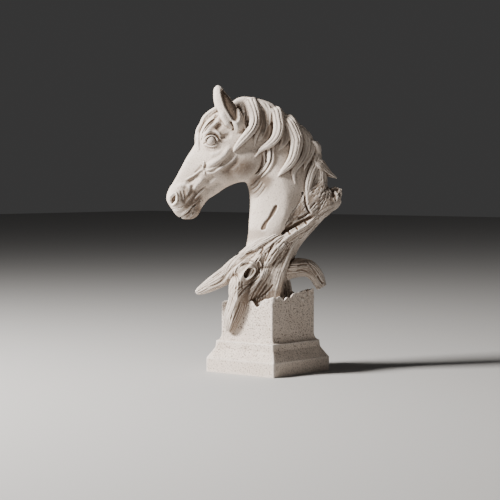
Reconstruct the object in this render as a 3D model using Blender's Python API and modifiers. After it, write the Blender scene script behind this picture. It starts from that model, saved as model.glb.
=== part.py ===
"""Horse head statue: one polyresin casting of a horse's head and neck growing out of a driftwood
root, which stands in and over a square moulded plinth with a broken rim.

World: metres, +Z up, origin at the middle of the plinth's underside, plinth sides along X and Y.
The figure looks towards the (-X, -Y) corner of the plinth. Its carving is given on the sculptor's
pattern, in millimetres: f is forward along the horse's look, y to its left, z up from the
underside of the pattern's own plinth. The pattern is scaled by the figure's height and set on
the rim, so it keeps its proportions when either size changes.
"""

import math

import bmesh
import bpy
import numpy as np
from mathutils import Matrix, Vector
from mathutils.bvhtree import BVHTree

# Plinth, metres: each width is the full side of the square
FOOT_WIDTH = 0.097
FOOT_HEIGHT = 0.0155
SHOULDER_WIDTH = 0.083
SHOULDER_HEIGHT = 0.027
BAND_WIDTH = 0.0815
BAND_HEIGHT = 0.0345
COVE_HEIGHT = 0.0085
SHAFT_WIDTH = 0.073
CORNER_ROUND = 0.0012
RIM_HEIGHT = 0.084
RIM_FALL = 0.015
RIM_THICKNESS = 0.005
FLOOR_DEPTH = 0.007

# Figure, metres: from the rim's mean height to the ear tips
FIGURE_HEIGHT = 0.2295
VOXEL = 0.0009
FIGURE_TRIANGLES = 8300

# The sculptor's pattern, millimetres
PATTERN_RIM = 84.0
PATTERN_HEIGHT = 229.5
LOOK_ANGLE = math.radians(225)

SCALE = FIGURE_HEIGHT / PATTERN_HEIGHT
VOXEL_PATTERN = VOXEL / SCALE

# Broken rim: (side and share along it, depth of the notch, half width in shares of a side)
NOTCHES = (
    (0.72, 0.0072, 0.11), (1.0, -0.002, 0.09), (1.28, 0.0042, 0.09), (1.42, 0.002, 0.08),
    (1.86, 0.0015, 0.07), (2.3, 0.006, 0.14), (2.7, 0.003, 0.1), (3.2, 0.002, 0.1),
    (3.55, 0.0055, 0.16),
)
RAGGED = 0.0008
RIM_POINTS = 15

# Head sections from the lips to the poll: (top f, z), (jaw f, z), half widths at the top, middle
# and jaw, squareness
HEAD = (
    ((111.5, 188), (101, 172), 6.5, 8.0, 6.0, 0.75),
    ((111.5, 194), (92, 167.5), 8.5, 12.0, 8.5, 0.75),
    ((108.5, 202), (78, 172), 9.5, 13.5, 8.5, 0.72),
    ((103.5, 209.5), (72, 181), 9.0, 12.5, 8.0, 0.72),
    ((97, 221.5), (66, 189), 8.5, 11.5, 8.5, 0.72),
    ((89.5, 235.5), (56, 195.5), 9.5, 13.5, 10.0, 0.72),
    ((81.5, 248), (46, 202.5), 12.5, 18.5, 13.5, 0.72),
    ((73, 260), (34, 207.5), 17.0, 21.0, 17.5, 0.70),
    ((65, 271), (20, 210.5), 18.5, 21.5, 20.0, 0.68),
    ((55, 280), (9, 221.5), 16.5, 20.0, 20.0, 0.68),
    ((44, 287), (2, 238), 12.5, 17.5, 18.0, 0.68),
    ((30, 290), (-3, 254), 9.0, 12.0, 12.0, 0.75),
)
# Neck sections from the poll down into the wood: (throat f, z), (crest f, z), half widths at the
# throat, middle and crest, squareness
NECK = (
    ((30, 218), (31, 295), 12.0, 14.5, 8.0, 0.85),
    ((25, 210), (13, 297), 14.0, 16.0, 8.0, 0.85),
    ((21.5, 201), (-6, 289), 16.0, 17.5, 8.0, 0.85),
    ((20, 191), (-24, 278), 18.0, 19.0, 8.5, 0.85),
    ((20, 180), (-39.5, 263), 20.0, 21.0, 9.0, 0.85),
    ((21, 166), (-52, 244), 22.0, 23.0, 10.0, 0.85),
    ((22, 150), (-57, 223), 24.0, 25.0, 12.0, 0.85),
    ((25, 132), (-55, 200), 25.0, 27.0, 14.0, 0.85),
    ((27, 112), (-44, 172), 25.0, 28.0, 17.0, 0.85),
    ((27, 92), (-28, 140), 24.0, 27.0, 20.0, 0.85),
)
# Muscle and bone on each side of the head: centre (f, y, z), radii, turn about y in degrees
MASSES = (
    ((62, 13.5, 254), (12, 7.2, 8.5), -50),
    ((27, 12, 230), (23, 9.8, 21), 0),
    ((100, 8.5, 193), (10, 6.0, 8), 0),
)
CHIN = ((84, 0, 175.5), (10, 9.0, 7.5), 30)
EYE_CENTRE = (63.2, 252.6)
EYE_RADIUS = 4.8
EYE_RISE = 1.3

# Ear: base and tip (f, y, z), and rows of (share of its length, half width, half thickness)
EAR_BASE = (35.5, 12.5, 270.0)
EAR_TIP = (57.0, 14.5, 313.0)
EAR_BOW = 0.8
EAR_ROWS = (
    (0.0, 10.5, 9.0), (0.25, 11.4, 8.4), (0.5, 10.3, 7.2), (0.75, 7.6, 5.4), (0.92, 4.2, 3.2),
    (1.0, 1.4, 1.2),
)
EAR_HOLLOW = ((50.5, 306), (45.5, 297), (39.5, 288), (36.0, 281))

# Locks of the mane on the near side, crest to tip: points (f, z), half widths at the root, middle
# and tip, height, strands, and lift over the neck along the lock
LOCKS = (
    (((0, 254.5), (1, 243.5), (1, 232.5), (5.5, 223), (13, 215)), (1.8, 2.0, 0.7), 1.8, 1, (0, 0)),
    (((-4.5, 254.5), (-3.5, 242.5), (-3.5, 231.5), (1, 221.5), (9, 213)), (1.8, 2.0, 0.7), 1.6, 1,
     (0, 0)),
    (((10, 272), (5.5, 263.5), (0, 252.5), (-2, 247)), (1.3, 1.4, 0.7), 1.4, 1, (0, 0)),
    (((12, 265.5), (9, 258), (3.5, 248), (1, 243.5)), (1.3, 1.4, 0.7), 1.4, 1, (0, 0)),
    (((13, 296.5), (5.5, 293), (0.5, 286.5), (-1, 278), (-0.5, 267)), (5.5, 5.0, 0.9), 3.2, 3,
     (0.5, 1.5, 1.5, 0.5)),
    (((18.5, 297), (10.5, 290), (7, 279), (9, 267), (13, 257), (15, 247)), (4.0, 3.2, 1.1), 2.8, 2,
     (0.5, 1.0, 1.5, 0.3)),
    (((29, 299), (20.5, 297.5), (14.5, 289), (14, 280), (17, 270), (23, 260), (31, 250.5),
      (37, 244), (39, 239.5)), (6.0, 5.2, 1.3), 4.0, 3, (0.5, 1.5, 3.0, 2.5, 1.0)),
    (((29.5, 292), (28, 286.5), (28.5, 279), (27.5, 270), (24, 262.5)), (2.0, 1.7, 1.1), 2.2, 1,
     (0.5, 1.0, 0.5)),
    (((1, 291), (-6.5, 286), (-10.5, 278.5), (-12, 268), (-9, 258.5), (-2.5, 251), (5.5, 247.5),
      (10.5, 242.5), (13, 237)), (6.0, 5.8, 1.1), 4.6, 3, (0.5, 2.0, 3.5, 3.0, 1.0)),
    (((-10, 285), (-19, 280), (-25.5, 272), (-27, 260), (-25.5, 247), (-21, 232.5), (-15, 223),
      (-9.5, 215.5)), (5.6, 4.6, 1.1), 4.0, 2, (0.5, 2.0, 3.0, 1.5)),
    (((-17.5, 281), (-26, 274.5), (-31, 265.5), (-31.5, 252.5), (-29.5, 239.5), (-23.5, 227),
      (-15.5, 218), (-11, 214)), (5.4, 4.8, 1.1), 3.8, 3, (0.5, 1.5, 2.5, 1.0)),
    (((-26.5, 275), (-34, 267), (-37.5, 257), (-37, 245), (-34, 232.5), (-29.5, 224),
      (-27.5, 216), (-28.5, 206.5)), (5.4, 4.2, 1.4), 3.4, 2, (0.3, 1.0, 1.5, 0.8)),
    (((-34, 268), (-41, 260), (-45, 252), (-46, 243), (-44, 234), (-40.5, 223)), (5.0, 3.8, 0.9),
     3.2, 2, (0.3, 1.5, 1.0)),
    (((-42, 258.5), (-48, 251), (-50.5, 241.5), (-50, 230.5), (-46.5, 217.5), (-43.5, 204),
      (-44, 188.5)), (5.4, 5.0, 1.8), 4.0, 3, (0.3, 1.5, 2.5, 2.0)),
    (((-47.5, 250), (-53.0, 240), (-54.5, 230.5), (-53, 221), (-49, 212), (-45.5, 201)),
     (4.6, 3.6, 1.1), 3.0, 2, (0.3, 1.0, 1.5)),
    (((46, 290), (58, 283.5), (65, 276), (70.5, 266.5), (74, 254.5), (74.5, 245)),
     (4.2, 4.2, 0.9), 2.6, 2, (0, 0.3, 0)),
    (((45, 288), (55, 281), (61, 272), (67, 262.5), (71, 251.5)), (3.6, 2.8, 0.9), 2.2, 2,
     (0, 0.3, 0)),
)
LOCK_SWAY = 1.3
LOCK_RISE = 1.2

# Strokes on each side of the face: points (f, z), half width, height (negative is a groove)
FACE = (
    (((69.5, 223), (81, 216), (87.5, 210.5), (94, 206)), 2.8, 1.1),
    (((67, 218.5), (76.5, 213), (83.5, 207.5), (89, 201)), 4.5, -1.6),
    (((40.5, 254.5), (45.5, 247), (50, 239.5), (56.5, 232), (63.5, 227.5), (69, 223.5)), 3.6, 2.0),
    (((39.5, 247), (43.5, 238), (51, 230), (60, 224.5)), 3.0, -1.3),
    (((31, 245), (37, 237), (43, 231), (50, 226.5), (59.5, 222), (68, 220)), 2.4, 1.3),
    (((31, 237), (38.5, 229.5), (47.5, 223.5), (57, 218.5)), 3.4, -0.9),
    (((50.5, 210.5), (61.5, 203), (72.5, 197.5)), 5.0, -1.3),
    (((58.5, 215), (65.5, 207.5), (73, 200), (81.5, 191)), 2.2, 1.0),
    (((101, 167), (93.5, 169.5), (87, 175), (81.5, 181.5), (75.5, 186.5)), 2.2, -2.8),
    (((104.5, 182.5), (99.5, 186), (98, 191.5), (99, 196.5), (102.5, 199), (106, 197)), 2.4, 1.6),
    (((106, 186), (104, 190), (101, 194.5)), 3.4, -4.4),
    (((94.5, 201), (93.5, 191), (97.5, 182.5)), 2.2, -0.9),
    (((50, 277), (53.5, 270), (56.5, 265.5)), 4.2, -2.0),
    (((48.5, 275.5), (44.5, 269), (44, 264.5)), 3.2, 1.7),
    (((43, 276.5), (39, 270), (39, 263.5), (44.5, 258)), 2.6, -1.6),
    (((0, 254), (2, 240), (8, 225), (17, 213), (26, 206)), 4.5, -2.0),
)
# Rings round the eye: radius, first and last angle in degrees, half width, height
EYE_RINGS = ((5.2, -100, 260, 1.9, -2.2), (7.0, 5, 185, 1.7, 2.0), (6.8, 205, 330, 1.5, 1.2),
             (9.2, 0, 190, 1.8, -1.1))

# Driftwood limbs: points (f, y, z), radii, squash across the side plane, flutes and their depth
TRUNK = (
    ((6, 2, 66), (6, 2, 88), (3, 1, 104), (-3, 0, 120), (-11, 0, 135), (-22, 0, 151),
     (-43, 0, 171), (-59.5, 0, 185.5), (-72, 0, 196.5)),
    (25, 24, 24, 23, 21, 18.5, 15.5, 13, 11), 1.12, 9, 0.1)
PLANK = (
    ((-14, 1, 140), (-26, 5, 158), (-40, 7, 176), (-50, 7, 194), (-55, 5, 211), (-57, 5, 225)),
    (12, 17, 16, 13, 9.5, 6), 0.9, 5, 0.04)
SPIKE = (((-48, 3, 233), (-55, 5, 227), (-65, 5, 219), (-75.5, 5, 212.5)), (3, 7.5, 4.6, 1.0), 1.0,
         4, 0.1)
LEFT_BRANCH = (
    ((0, 12, 137), (14.5, 13, 128.5), (31, 13, 118.5), (47.5, 12, 106), (64, 10, 96),
     (76, 9, 89.5), (80, 9, 88)),
    (10.5, 10.2, 10.5, 9.6, 7.4, 4.6, 2.2), 0.75, 5, 0.1)
ARCH = (
    ((-6, 2, 108), (-17, 2, 112), (-27, 3, 113.5), (-36.5, 4, 114.5), (-45, 4, 113.5),
     (-51.5, 4, 108), (-56.5, 4, 100), (-61, 4, 93)),
    (14, 13, 11, 9.8, 9.4, 8.4, 7.0, 4.0), 0.9, 5, 0.12)
ARCH_SPUR = (
    ((-44, 1, 116), (-50, 0, 106), (-54.5, 0, 96), (-56, 0, 90)), (6, 5.2, 4.2, 3), 1.0, 4, 0.12)
PLANK_TIP = (((-58, 5, 180), (-67, 5, 187), (-74, 5, 195), (-78, 4, 201.5)), (5, 10.4, 8.2, 4.6),
             1.0, 4, 0.08)
LIP = (
    ((-2, 16, 120), (-9, 19, 137), (-17.5, 21, 147), (-27.5, 21, 154.5), (-38.5, 20, 160.5),
     (-47.5, 18, 168), (-52, 16, 176)),
    (5.5, 5.5, 5, 4.6, 4.2, 3.4, 2), 1.0, 4, 0.12)
FAR_ROOT = (
    ((-4, -12, 128), (8, -20, 110), (20, -24, 95), (27, -22, 82), (30, -20, 70)),
    (12, 10.5, 9, 7.5, 5), 1.0, 5, 0.12)
BACK_ROOT = (
    ((-4, -8, 116), (-14, -20, 104), (-20, -26, 92), (-22, -27, 78)), (12, 10, 8.5, 7), 1.0, 5,
    0.12)
# Fibres of the trunk that run down beside the snout
ROOT_STRAND = (((6, 15, 122), (14, 18, 108), (21, 19.5, 95), (26, 19, 82), (28, 16, 68)),
               (8, 9.5, 9.5, 8.5, 6.5), 1.0, 4, 0.06)
ROOT_MASS = ((8, 0, 92), (26, 25, 24), 0)
KNOT = ((25, 19, 109.5), (14, 9, 17), 24)
KNOT_CENTRE = (23.8, 109.5)
KNOT_EYE = (4.8, 6.4)
KNOT_RIM = 3.2
# How far the knot's open slit reaches from its centre, (f, z)
KNOT_SLIT = (2.0, -3.5)
# Snout of the root, which lies over the plinth's -Y face: (f, z) and radius; it stands out of
# the face by SNOUT_OUT
SNOUT_TOP = ((6, 12, 128), (22, 16, 111))
SNOUT = ((31.5, 96), (32.8, 80), (37, 65), (41, 54), (43.4, 45.5))
SNOUT_RADII = (14, 14.5, 12.5, 11.5, 11, 9.3, 5.8)
SNOUT_OUT = 2.5

# Grooves and ridges of the weathered wood on the near side: points (f, z), half width, height
WOOD = (
    (((-5, 150), (-14, 154.5), (-25, 163), (-36, 169.5), (-45, 174)), 4.5, -5.0),
    (((-38.5, 193), (-33, 184), (-28.5, 176), (-20, 164)), 3.2, -2.6),
    (((-38.5, 199), (-39.5, 190), (-37, 183), (-43, 179)), 2.0, -2.0),
    (((-8.5, 182), (-1, 171), (6, 158.5)), 3.0, -3.4),
    (((21, 143), (8, 150), (-3, 156)), 2.2, -1.4),
    (((9, 115), (17, 98), (24, 82), (28, 70)), 3.4, -3.0),
    (((3, 120), (-5, 133), (-12, 143)), 2.4, -2.4),
    (((-4, 112), (-13, 126), (-22, 139)), 2.2, -1.8),
    (((-14, 122), (-30, 141), (-45, 156), (-60, 172)), 2.6, -1.8),
    (((-20, 138), (-36, 154), (-52, 168), (-66, 184)), 2.4, -1.6),
    (((31, 113), (45, 102), (58, 94), (70, 89)), 3.6, -2.8),
    (((-51, 107), (-56, 101), (-60, 95)), 1.8, -2.2),
    (((33, 96), (37, 80), (42, 62)), 2.2, -1.8),
    (((24, 92), (31, 74), (38, 56)), 2.2, -1.8),
)
# The far side is plainer
FAR_WOOD = (
    (((18, 140), (4, 148), (-12, 152), (-28, 163), (-46, 178)), 4.0, -2.4),
    (((2, 110), (-8, 128), (-20, 144), (-36, 160)), 2.8, -1.6),
    (((-12, 114), (-26, 136), (-44, 156), (-60, 174)), 2.8, -1.5),
    (((-38, 168), (-50, 182), (-58, 198)), 2.4, -1.4),
    (((8, 124), (20, 106), (26, 90)), 2.6, -1.6),
    (((-2, 128), (10, 108), (18, 92)), 2.2, -1.3),
    (((34, 116), (48, 104), (62, 94)), 2.6, -1.4),
)


def smooth_path(points, count):
    """Evenly spaced Catmull-Rom points through the given rows of numbers."""
    p = np.asarray(points, float)
    p = p[:, None] if p.ndim == 1 else p
    spans = len(p) - 1
    padded = np.vstack([2 * p[0] - p[1], p, 2 * p[-1] - p[-2]])
    place = np.linspace(0, spans, count)
    i = np.minimum(place.astype(int), spans - 1)
    t = (place - i)[:, None]
    a, b, c, d = (padded[i + k] for k in range(4))
    return 0.5 * (2 * b + (c - a) * t + (2 * a - 5 * b + 4 * c - d) * t**2
                  + (3 * b - a - 3 * c + d) * t**3)


def object_from(bm, name):
    """A scratch object in the working collection from a bmesh."""
    bmesh.ops.recalc_face_normals(bm, faces=bm.faces)
    mesh = bpy.data.meshes.new(name)
    bm.to_mesh(mesh)
    bm.free()
    obj = bpy.data.objects.new(name, mesh)
    bpy.data.collections["working forms"].objects.link(obj)
    return obj


def skin_over(rings, name):
    """Loft between unlike sections: a closed skin over rings of equal point count."""
    bm = bmesh.new()
    rows = [[bm.verts.new(point) for point in ring] for ring in rings]
    around = len(rows[0])
    for low, high in zip(rows, rows[1:]):
        for k in range(around):
            n = (k + 1) % around
            bm.faces.new((low[k], low[n], high[n], high[k]))
    bm.faces.new(rows[0])
    bm.faces.new(rows[-1])
    return object_from(bm, name)


def evaluated_mesh(obj):
    """The object's mesh with its modifiers applied."""
    graph = bpy.context.evaluated_depsgraph_get()
    return bpy.data.meshes.new_from_object(obj.evaluated_get(graph))


def fuse(objects, voxel, name):
    """One closed skin over all the given forms, which it uses up."""
    bm = bmesh.new()
    for obj in objects:
        bm.from_mesh(obj.data)
        bpy.data.objects.remove(obj)
    obj = object_from(bm, name)
    remesh = obj.modifiers.new("one skin", "REMESH")
    remesh.mode = "VOXEL"
    remesh.voxel_size = voxel
    mesh = evaluated_mesh(obj)
    obj.modifiers.clear()
    obj.data = mesh
    return obj


def ellipsoid(name, centre, radii, turn, side=1):
    """An ellipsoid, mirrored to the other side of the head when side is -1."""
    bm = bmesh.new()
    bmesh.ops.create_uvsphere(bm, u_segments=24, v_segments=16, radius=1)
    place = Matrix.Translation((centre[0], centre[1] * side, centre[2]))
    bm.transform(place @ Matrix.Rotation(math.radians(turn), 4, "Y") @ Matrix.Diagonal((*radii, 1)))
    return object_from(bm, name)


def body_section(top, low, w_top, w_mid, w_low, power, points=32):
    """A section of the head or neck: a rounded lozenge whose half width changes down its depth."""
    turn = np.arange(points) / points * 2 * math.pi
    down = (1 - np.cos(turn)) / 2
    width = np.interp(down, (0, 0.5, 1), (w_top, w_mid, w_low))
    across = np.sign(np.sin(turn)) * np.abs(np.sin(turn)) ** power * width
    middle = np.asarray(top) + down[:, None] * (np.asarray(low) - np.asarray(top))
    return np.column_stack([middle[:, 0], across, middle[:, 1]])


def body_loft(stations, name, rings=36):
    """The head or the neck, lofted smoothly through its stations."""
    rows = smooth_path([[*top, *low, *rest] for top, low, *rest in stations], rings)
    return skin_over([body_section(r[0:2], r[2:4], *r[4:8]) for r in rows], name)


def limb(points, radii, squash, flutes, depth, name, rings=34, around=32):
    """A weathered limb of driftwood: a tapering tube whose section has twisting flutes."""
    path = smooth_path(points, rings)
    radius = smooth_path(radii, rings)[:, 0]
    along = np.gradient(path, axis=0)
    along /= np.linalg.norm(along, axis=1)[:, None]
    turn = np.arange(around) / around * 2 * math.pi
    sections = []
    for i in range(rings):
        share = i / (rings - 1)
        level = np.cross(along[i], (0.0, 1.0, 0.0))
        level /= np.linalg.norm(level)
        out = np.cross(level, along[i])
        flute = np.cos(flutes * turn + 2.2 * share + 0.8 * np.sin(7 * share))
        knobs = np.cos(2 * turn + 9 * share)
        r = radius[i] * (1 + depth * flute + 0.05 * knobs)
        sections.append(path[i] + (np.cos(turn) * r)[:, None] * level
                        + (np.sin(turn) * r * squash)[:, None] * out)
    return skin_over(sections, name)


def surface_of(obj):
    """A tree of the object's surface, for casting points on it."""
    bm = bmesh.new()
    bm.from_mesh(obj.data)
    tree = BVHTree.FromBMesh(bm)
    bm.free()
    return tree


def lay_on(surface, points, side, count):
    """Casts side-plane points (f, z) sideways onto the surface.

    Beyond the outline a point stays in the side plane, with the nearest outline's direction.
    Gives the points and the directions out of the surface.
    """
    places, outs = [], []
    for f, z in smooth_path(points, count):
        middle = Vector((f, 0, z))
        hit, out, _, _ = surface.ray_cast(Vector((f, 90 * side, z)), Vector((0, -side, 0)))
        if hit is None or hit.y * side < -1:
            near, out, _, _ = surface.find_nearest(middle)
            if (middle - near).length > 0.5:
                out = (middle - near).normalized()
            hit = middle
        places.append(hit)
        outs.append(out)
    return np.array(places), np.array(outs)


def evened(rows, times):
    """The rows with their bumps averaged out, ends kept."""
    rows = rows.copy()
    for _ in range(times):
        rows[1:-1] = (rows[:-2] + 2 * rows[1:-1] + rows[2:]) / 4
    return rows


def lock(surface, points, widths, height, strands, lifts, side, name, rings=44, across=15):
    """A lock of hair on the neck: a flat tapering loft whose top is parted into strands."""
    path, out = lay_on(surface, points, side, rings)
    share = np.linspace(0, 1, rings)
    path[:, 1] = evened(path[:, 1:2], 6)[:, 0]
    out = evened(out, 8)
    path = path + out * np.interp(share, np.linspace(0, 1, len(lifts)), lifts)[:, None]
    along = np.gradient(path, axis=0)
    along /= np.linalg.norm(along, axis=1)[:, None]
    out -= (out * along).sum(1)[:, None] * along
    out /= np.linalg.norm(out, axis=1)[:, None]
    beside = np.cross(along, out)
    root, middle, tip = widths
    half = np.interp(share, (0, 0.35, 0.75, 1), (root, middle, 0.55 * (middle + tip), tip))
    half = evened(half[:, None], 5)[:, 0] * np.clip((1.02 - share) / 0.12, 0.15, 1) ** 0.5
    half *= np.clip((share + 0.02) / 0.1, 0.2, 1) ** 0.5
    x = np.cos(np.linspace(math.pi, 0, across))
    dome = np.sqrt(np.clip(1 - x * x, 0, 1))
    parting = 0.5 + 0.5 * np.cos(math.pi * strands * (x + 1))
    parting[np.abs(x) > 0.9] = 0
    sections = []
    for i in range(rings):
        rise = LOCK_RISE * height * (half[i] / max(widths)) ** 0.7 * dome
        upper = path[i] + beside[i] * (x * half[i])[:, None]
        under = upper - out[i] * (0.9 * rise)[:, None]
        upper = upper + out[i] * (rise * (1 - 0.42 * parting))[:, None]
        sections.append(np.vstack([upper, under[::-1][1:-1]]))
    return skin_over(sections, name)


class Clay:
    """A dense skin that is smoothed and carved by moving its points."""

    def __init__(self, obj):
        self.mesh = obj.data
        self.places = np.empty(len(self.mesh.vertices) * 3)
        self.mesh.vertices.foreach_get("co", self.places)
        self.places = self.places.reshape(-1, 3)
        ends = np.empty(len(self.mesh.edges) * 2, np.int32)
        self.mesh.edges.foreach_get("vertices", ends)
        self.ends = ends.reshape(-1, 2)
        self.neighbours = np.maximum(np.bincount(ends, minlength=len(self.places)), 1)
        self.settle()

    def settle(self):
        """Writes the moved points to the mesh and reads its directions again."""
        self.mesh.vertices.foreach_set("co", self.places.ravel())
        self.mesh.update()
        out = np.empty(len(self.places) * 3, np.float32)
        self.mesh.vertex_normals.foreach_get("vector", out)
        self.out = out.reshape(-1, 3).astype(float)

    def pull(self):
        """The way from each point to the mean of its neighbours."""
        i, j = self.ends[:, 0], self.ends[:, 1]
        total = np.empty_like(self.places)
        for k in range(3):
            column = self.places[:, k]
            total[:, k] = (np.bincount(i, column[j], len(column))
                           + np.bincount(j, column[i], len(column)))
        return total / self.neighbours[:, None] - self.places

    def relax(self, times):
        """Smooths joins and steps, and keeps the volume."""
        for _ in range(times):
            self.places += 0.6 * self.pull()
            self.places -= 0.54 * self.pull()
        self.settle()

    def stroke(self, path, half_width, height, ends=0.18):
        """Raises a soft ridge along the path, or sinks a groove where the height is negative."""
        low, high = path.min(0) - half_width, path.max(0) + half_width
        chosen = np.flatnonzero(((self.places > low) & (self.places < high)).all(1))
        points = self.places[chosen]
        nearest = np.full(len(chosen), np.inf)
        share = np.zeros(len(chosen))
        for n, (a, b) in enumerate(zip(path, path[1:])):
            step = b - a
            t = np.clip((points - a) @ step / max(step @ step, 1e-9), 0, 1)
            far = np.linalg.norm(points - a - t[:, None] * step, axis=1)
            closer = far < nearest
            nearest[closer] = far[closer]
            share[closer] = (n + t[closer]) / (len(path) - 1)
        bump = np.clip(1 - (nearest / half_width) ** 2, 0, 1) ** 2
        fade = np.ones(len(share))
        if ends:
            fade = np.clip(np.minimum(share, 1 - share) / ends, 0, 1)
            fade = fade * fade * (3 - 2 * fade)
        self.places[chosen] += self.out[chosen] * (height * bump * fade)[:, None]


def ring_points(centre, radius_f, radius_z, first, last, count=17):
    """Side-plane points on part of an ellipse, angles in degrees from straight forward."""
    angles = np.radians(np.linspace(first, last, count))
    return [(centre[0] + radius_f * math.cos(a), centre[1] + radius_z * math.sin(a))
            for a in angles]


def ear(side):
    """One ear, a leaf that thins towards its tip."""
    base, tip = np.array(EAR_BASE), np.array(EAR_TIP)
    length = tip - base
    along = length / np.linalg.norm(length)
    wide = np.cross((0.0, 1.0, 0.0), along)
    wide /= np.linalg.norm(wide)
    thick = np.cross(along, wide)
    turn = np.arange(24) / 24 * 2 * math.pi
    sections = []
    for share, half, depth in smooth_path(EAR_ROWS, 22):
        middle = base + length * share + wide * (EAR_BOW * math.sin(share * math.pi))
        section = (middle + (np.cos(turn) * half)[:, None] * wide
                   + (np.sin(turn) * depth)[:, None] * thick)
        sections.append(section * (1, side, 1))
    return skin_over(sections, "ear")


def soft_horse():
    """Head and neck without carving, smoothed into one form."""
    forms = [body_loft(HEAD, "head"), body_loft(NECK, "neck"), ellipsoid("chin", *CHIN)]
    for side in (1, -1):
        forms += [ellipsoid("mass", *mass, side=side) for mass in MASSES]
    horse = fuse(forms, 2 * VOXEL_PATTERN, "soft horse")
    Clay(horse).relax(40)
    return horse


def mane(surface):
    """All locks on both sides; the far side sways a little off the near one."""
    hair = []
    for side in (1, -1):
        for n, (points, widths, height, strands, lifts) in enumerate(LOCKS):
            if side < 0:
                points = [(f + LOCK_SWAY * math.sin(2.1 * n + i), z + LOCK_SWAY * math.cos(1.7 * n + i))
                          for i, (f, z) in enumerate(points)]
            hair.append(lock(surface, points, widths, height, strands, lifts, side, "lock"))
    return hair


def eyeball(surface, side):
    """One eye, a ball that stands a little proud of the orbit."""
    places, outs = lay_on(surface, (EYE_CENTRE, EYE_CENTRE), side, 2)
    centre = places[0] - outs[0] * (EYE_RADIUS - EYE_RISE)
    return ellipsoid("eye", centre, (EYE_RADIUS,) * 3, 0)


def carve_face(horse):
    """Cheek bones, veins, nostrils, mouth and eyelids on both sides."""
    clay = Clay(horse)
    surface = surface_of(horse)
    for side in (1, -1):
        clay.stroke(lay_on(surface, EAR_HOLLOW, side, 20)[0], 4.6, -4.0, ends=0.3)
        for points, half_width, height in FACE:
            clay.stroke(lay_on(surface, points, side, 24)[0], half_width, height)
        for radius, first, last, half_width, height in EYE_RINGS:
            ring = ring_points(EYE_CENTRE, radius * 1.06, radius * 0.95, first, last)
            clay.stroke(lay_on(surface, ring, side, 40)[0], half_width, height, ends=0)
    clay.settle()


def driftwood():
    """The root: trunk, limbs, knot and the snout that lies over the plinth."""
    face = SHAFT_WIDTH / 2 * math.sqrt(2) / SCALE
    snout = [*SNOUT_TOP] + [(f, face - f + SNOUT_OUT, z) for f, z in SNOUT]
    limbs = {"trunk": TRUNK, "left branch": LEFT_BRANCH, "arch": ARCH, "arch spur": ARCH_SPUR,
             "plank": PLANK, "spike": SPIKE, "plank tip": PLANK_TIP, "lip": LIP,
             "far root": FAR_ROOT, "back root": BACK_ROOT, "root strand": ROOT_STRAND,
             "snout": (snout, SNOUT_RADII, 0.9, 6, 0.09)}
    forms = [limb(*values, name) for name, values in limbs.items()]
    forms.append(ellipsoid("root mass", *ROOT_MASS))
    forms.append(ellipsoid("knot", *KNOT))
    return forms


def carve_wood(figure):
    """The knot's eye and the cracks and grooves of the weathered wood on the near side."""
    clay = Clay(figure)
    surface = surface_of(figure)
    for points, half_width, height in WOOD:
        clay.stroke(lay_on(surface, points, 1, 24)[0], half_width, height)
    for points, half_width, height in FAR_WOOD:
        clay.stroke(lay_on(surface, points, -1, 24)[0], half_width, height)
    rim = ring_points(KNOT_CENTRE, KNOT_EYE[0] + KNOT_RIM, KNOT_EYE[1] + KNOT_RIM, 0, 360, 21)
    clay.stroke(lay_on(surface, rim, 1, 40)[0], 3.0, 2.0, ends=0)
    slit = [tuple(np.add(KNOT_CENTRE, np.multiply(KNOT_SLIT, end))) for end in (1, -1)]
    clay.stroke(lay_on(surface, slit, 1, 12)[0], 4.6, -5.5, ends=0)
    clay.settle()


def make_figure():
    """Horse and root as one carved skin on the pattern, thinned for the casting's solid."""
    soft = soft_horse()
    hair = mane(surface_of(soft))
    horse = fuse([soft, ear(1), ear(-1)], VOXEL_PATTERN, "horse")
    Clay(horse).relax(3)
    eyes = [eyeball(surface_of(horse), side) for side in (1, -1)]
    carve_face(horse)
    wood = fuse(driftwood(), 2 * VOXEL_PATTERN, "driftwood")
    Clay(wood).relax(3)
    figure = fuse([horse, wood, *hair, *eyes], VOXEL_PATTERN, "figure")
    Clay(figure).relax(1)
    carve_wood(figure)
    thin = figure.modifiers.new("thin", "DECIMATE")
    thin.ratio = FIGURE_TRIANGLES / (2 * len(figure.data.polygons))
    figure.data = evaluated_mesh(figure)
    figure.modifiers.clear()
    place = (Matrix.Translation((0, 0, RIM_HEIGHT)) @ Matrix.Rotation(LOOK_ANGLE, 4, "Z")
             @ Matrix.Scale(SCALE, 4) @ Matrix.Translation((0, 0, -PATTERN_RIM)))
    figure.data.transform(place)
    return figure


def rim_height(x, y):
    """Height of the broken rim above the underside at a point of the shaft's outline."""
    half = SHAFT_WIDTH / 2
    u, v = x / half, y / half
    if v <= -max(abs(u), 0.98):
        around = (u + 1) / 2
    elif u >= 0.98:
        around = 1 + (v + 1) / 2
    elif v >= 0.98:
        around = 2 + (1 - u) / 2
    else:
        around = 3 + (1 - v) / 2
    height = RIM_HEIGHT + RIM_FALL * (u + v) / 4
    for place, depth, half_width in NOTCHES:
        away = abs((around - place + 2) % 4 - 2) / half_width
        height -= depth * max(0.0, 1 - away * away) ** 1.5
    ripple = math.sin(31 * around) + math.sin(47 * around + 1) + math.sin(73 * around + 2)
    return height + RAGGED * ripple


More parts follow.
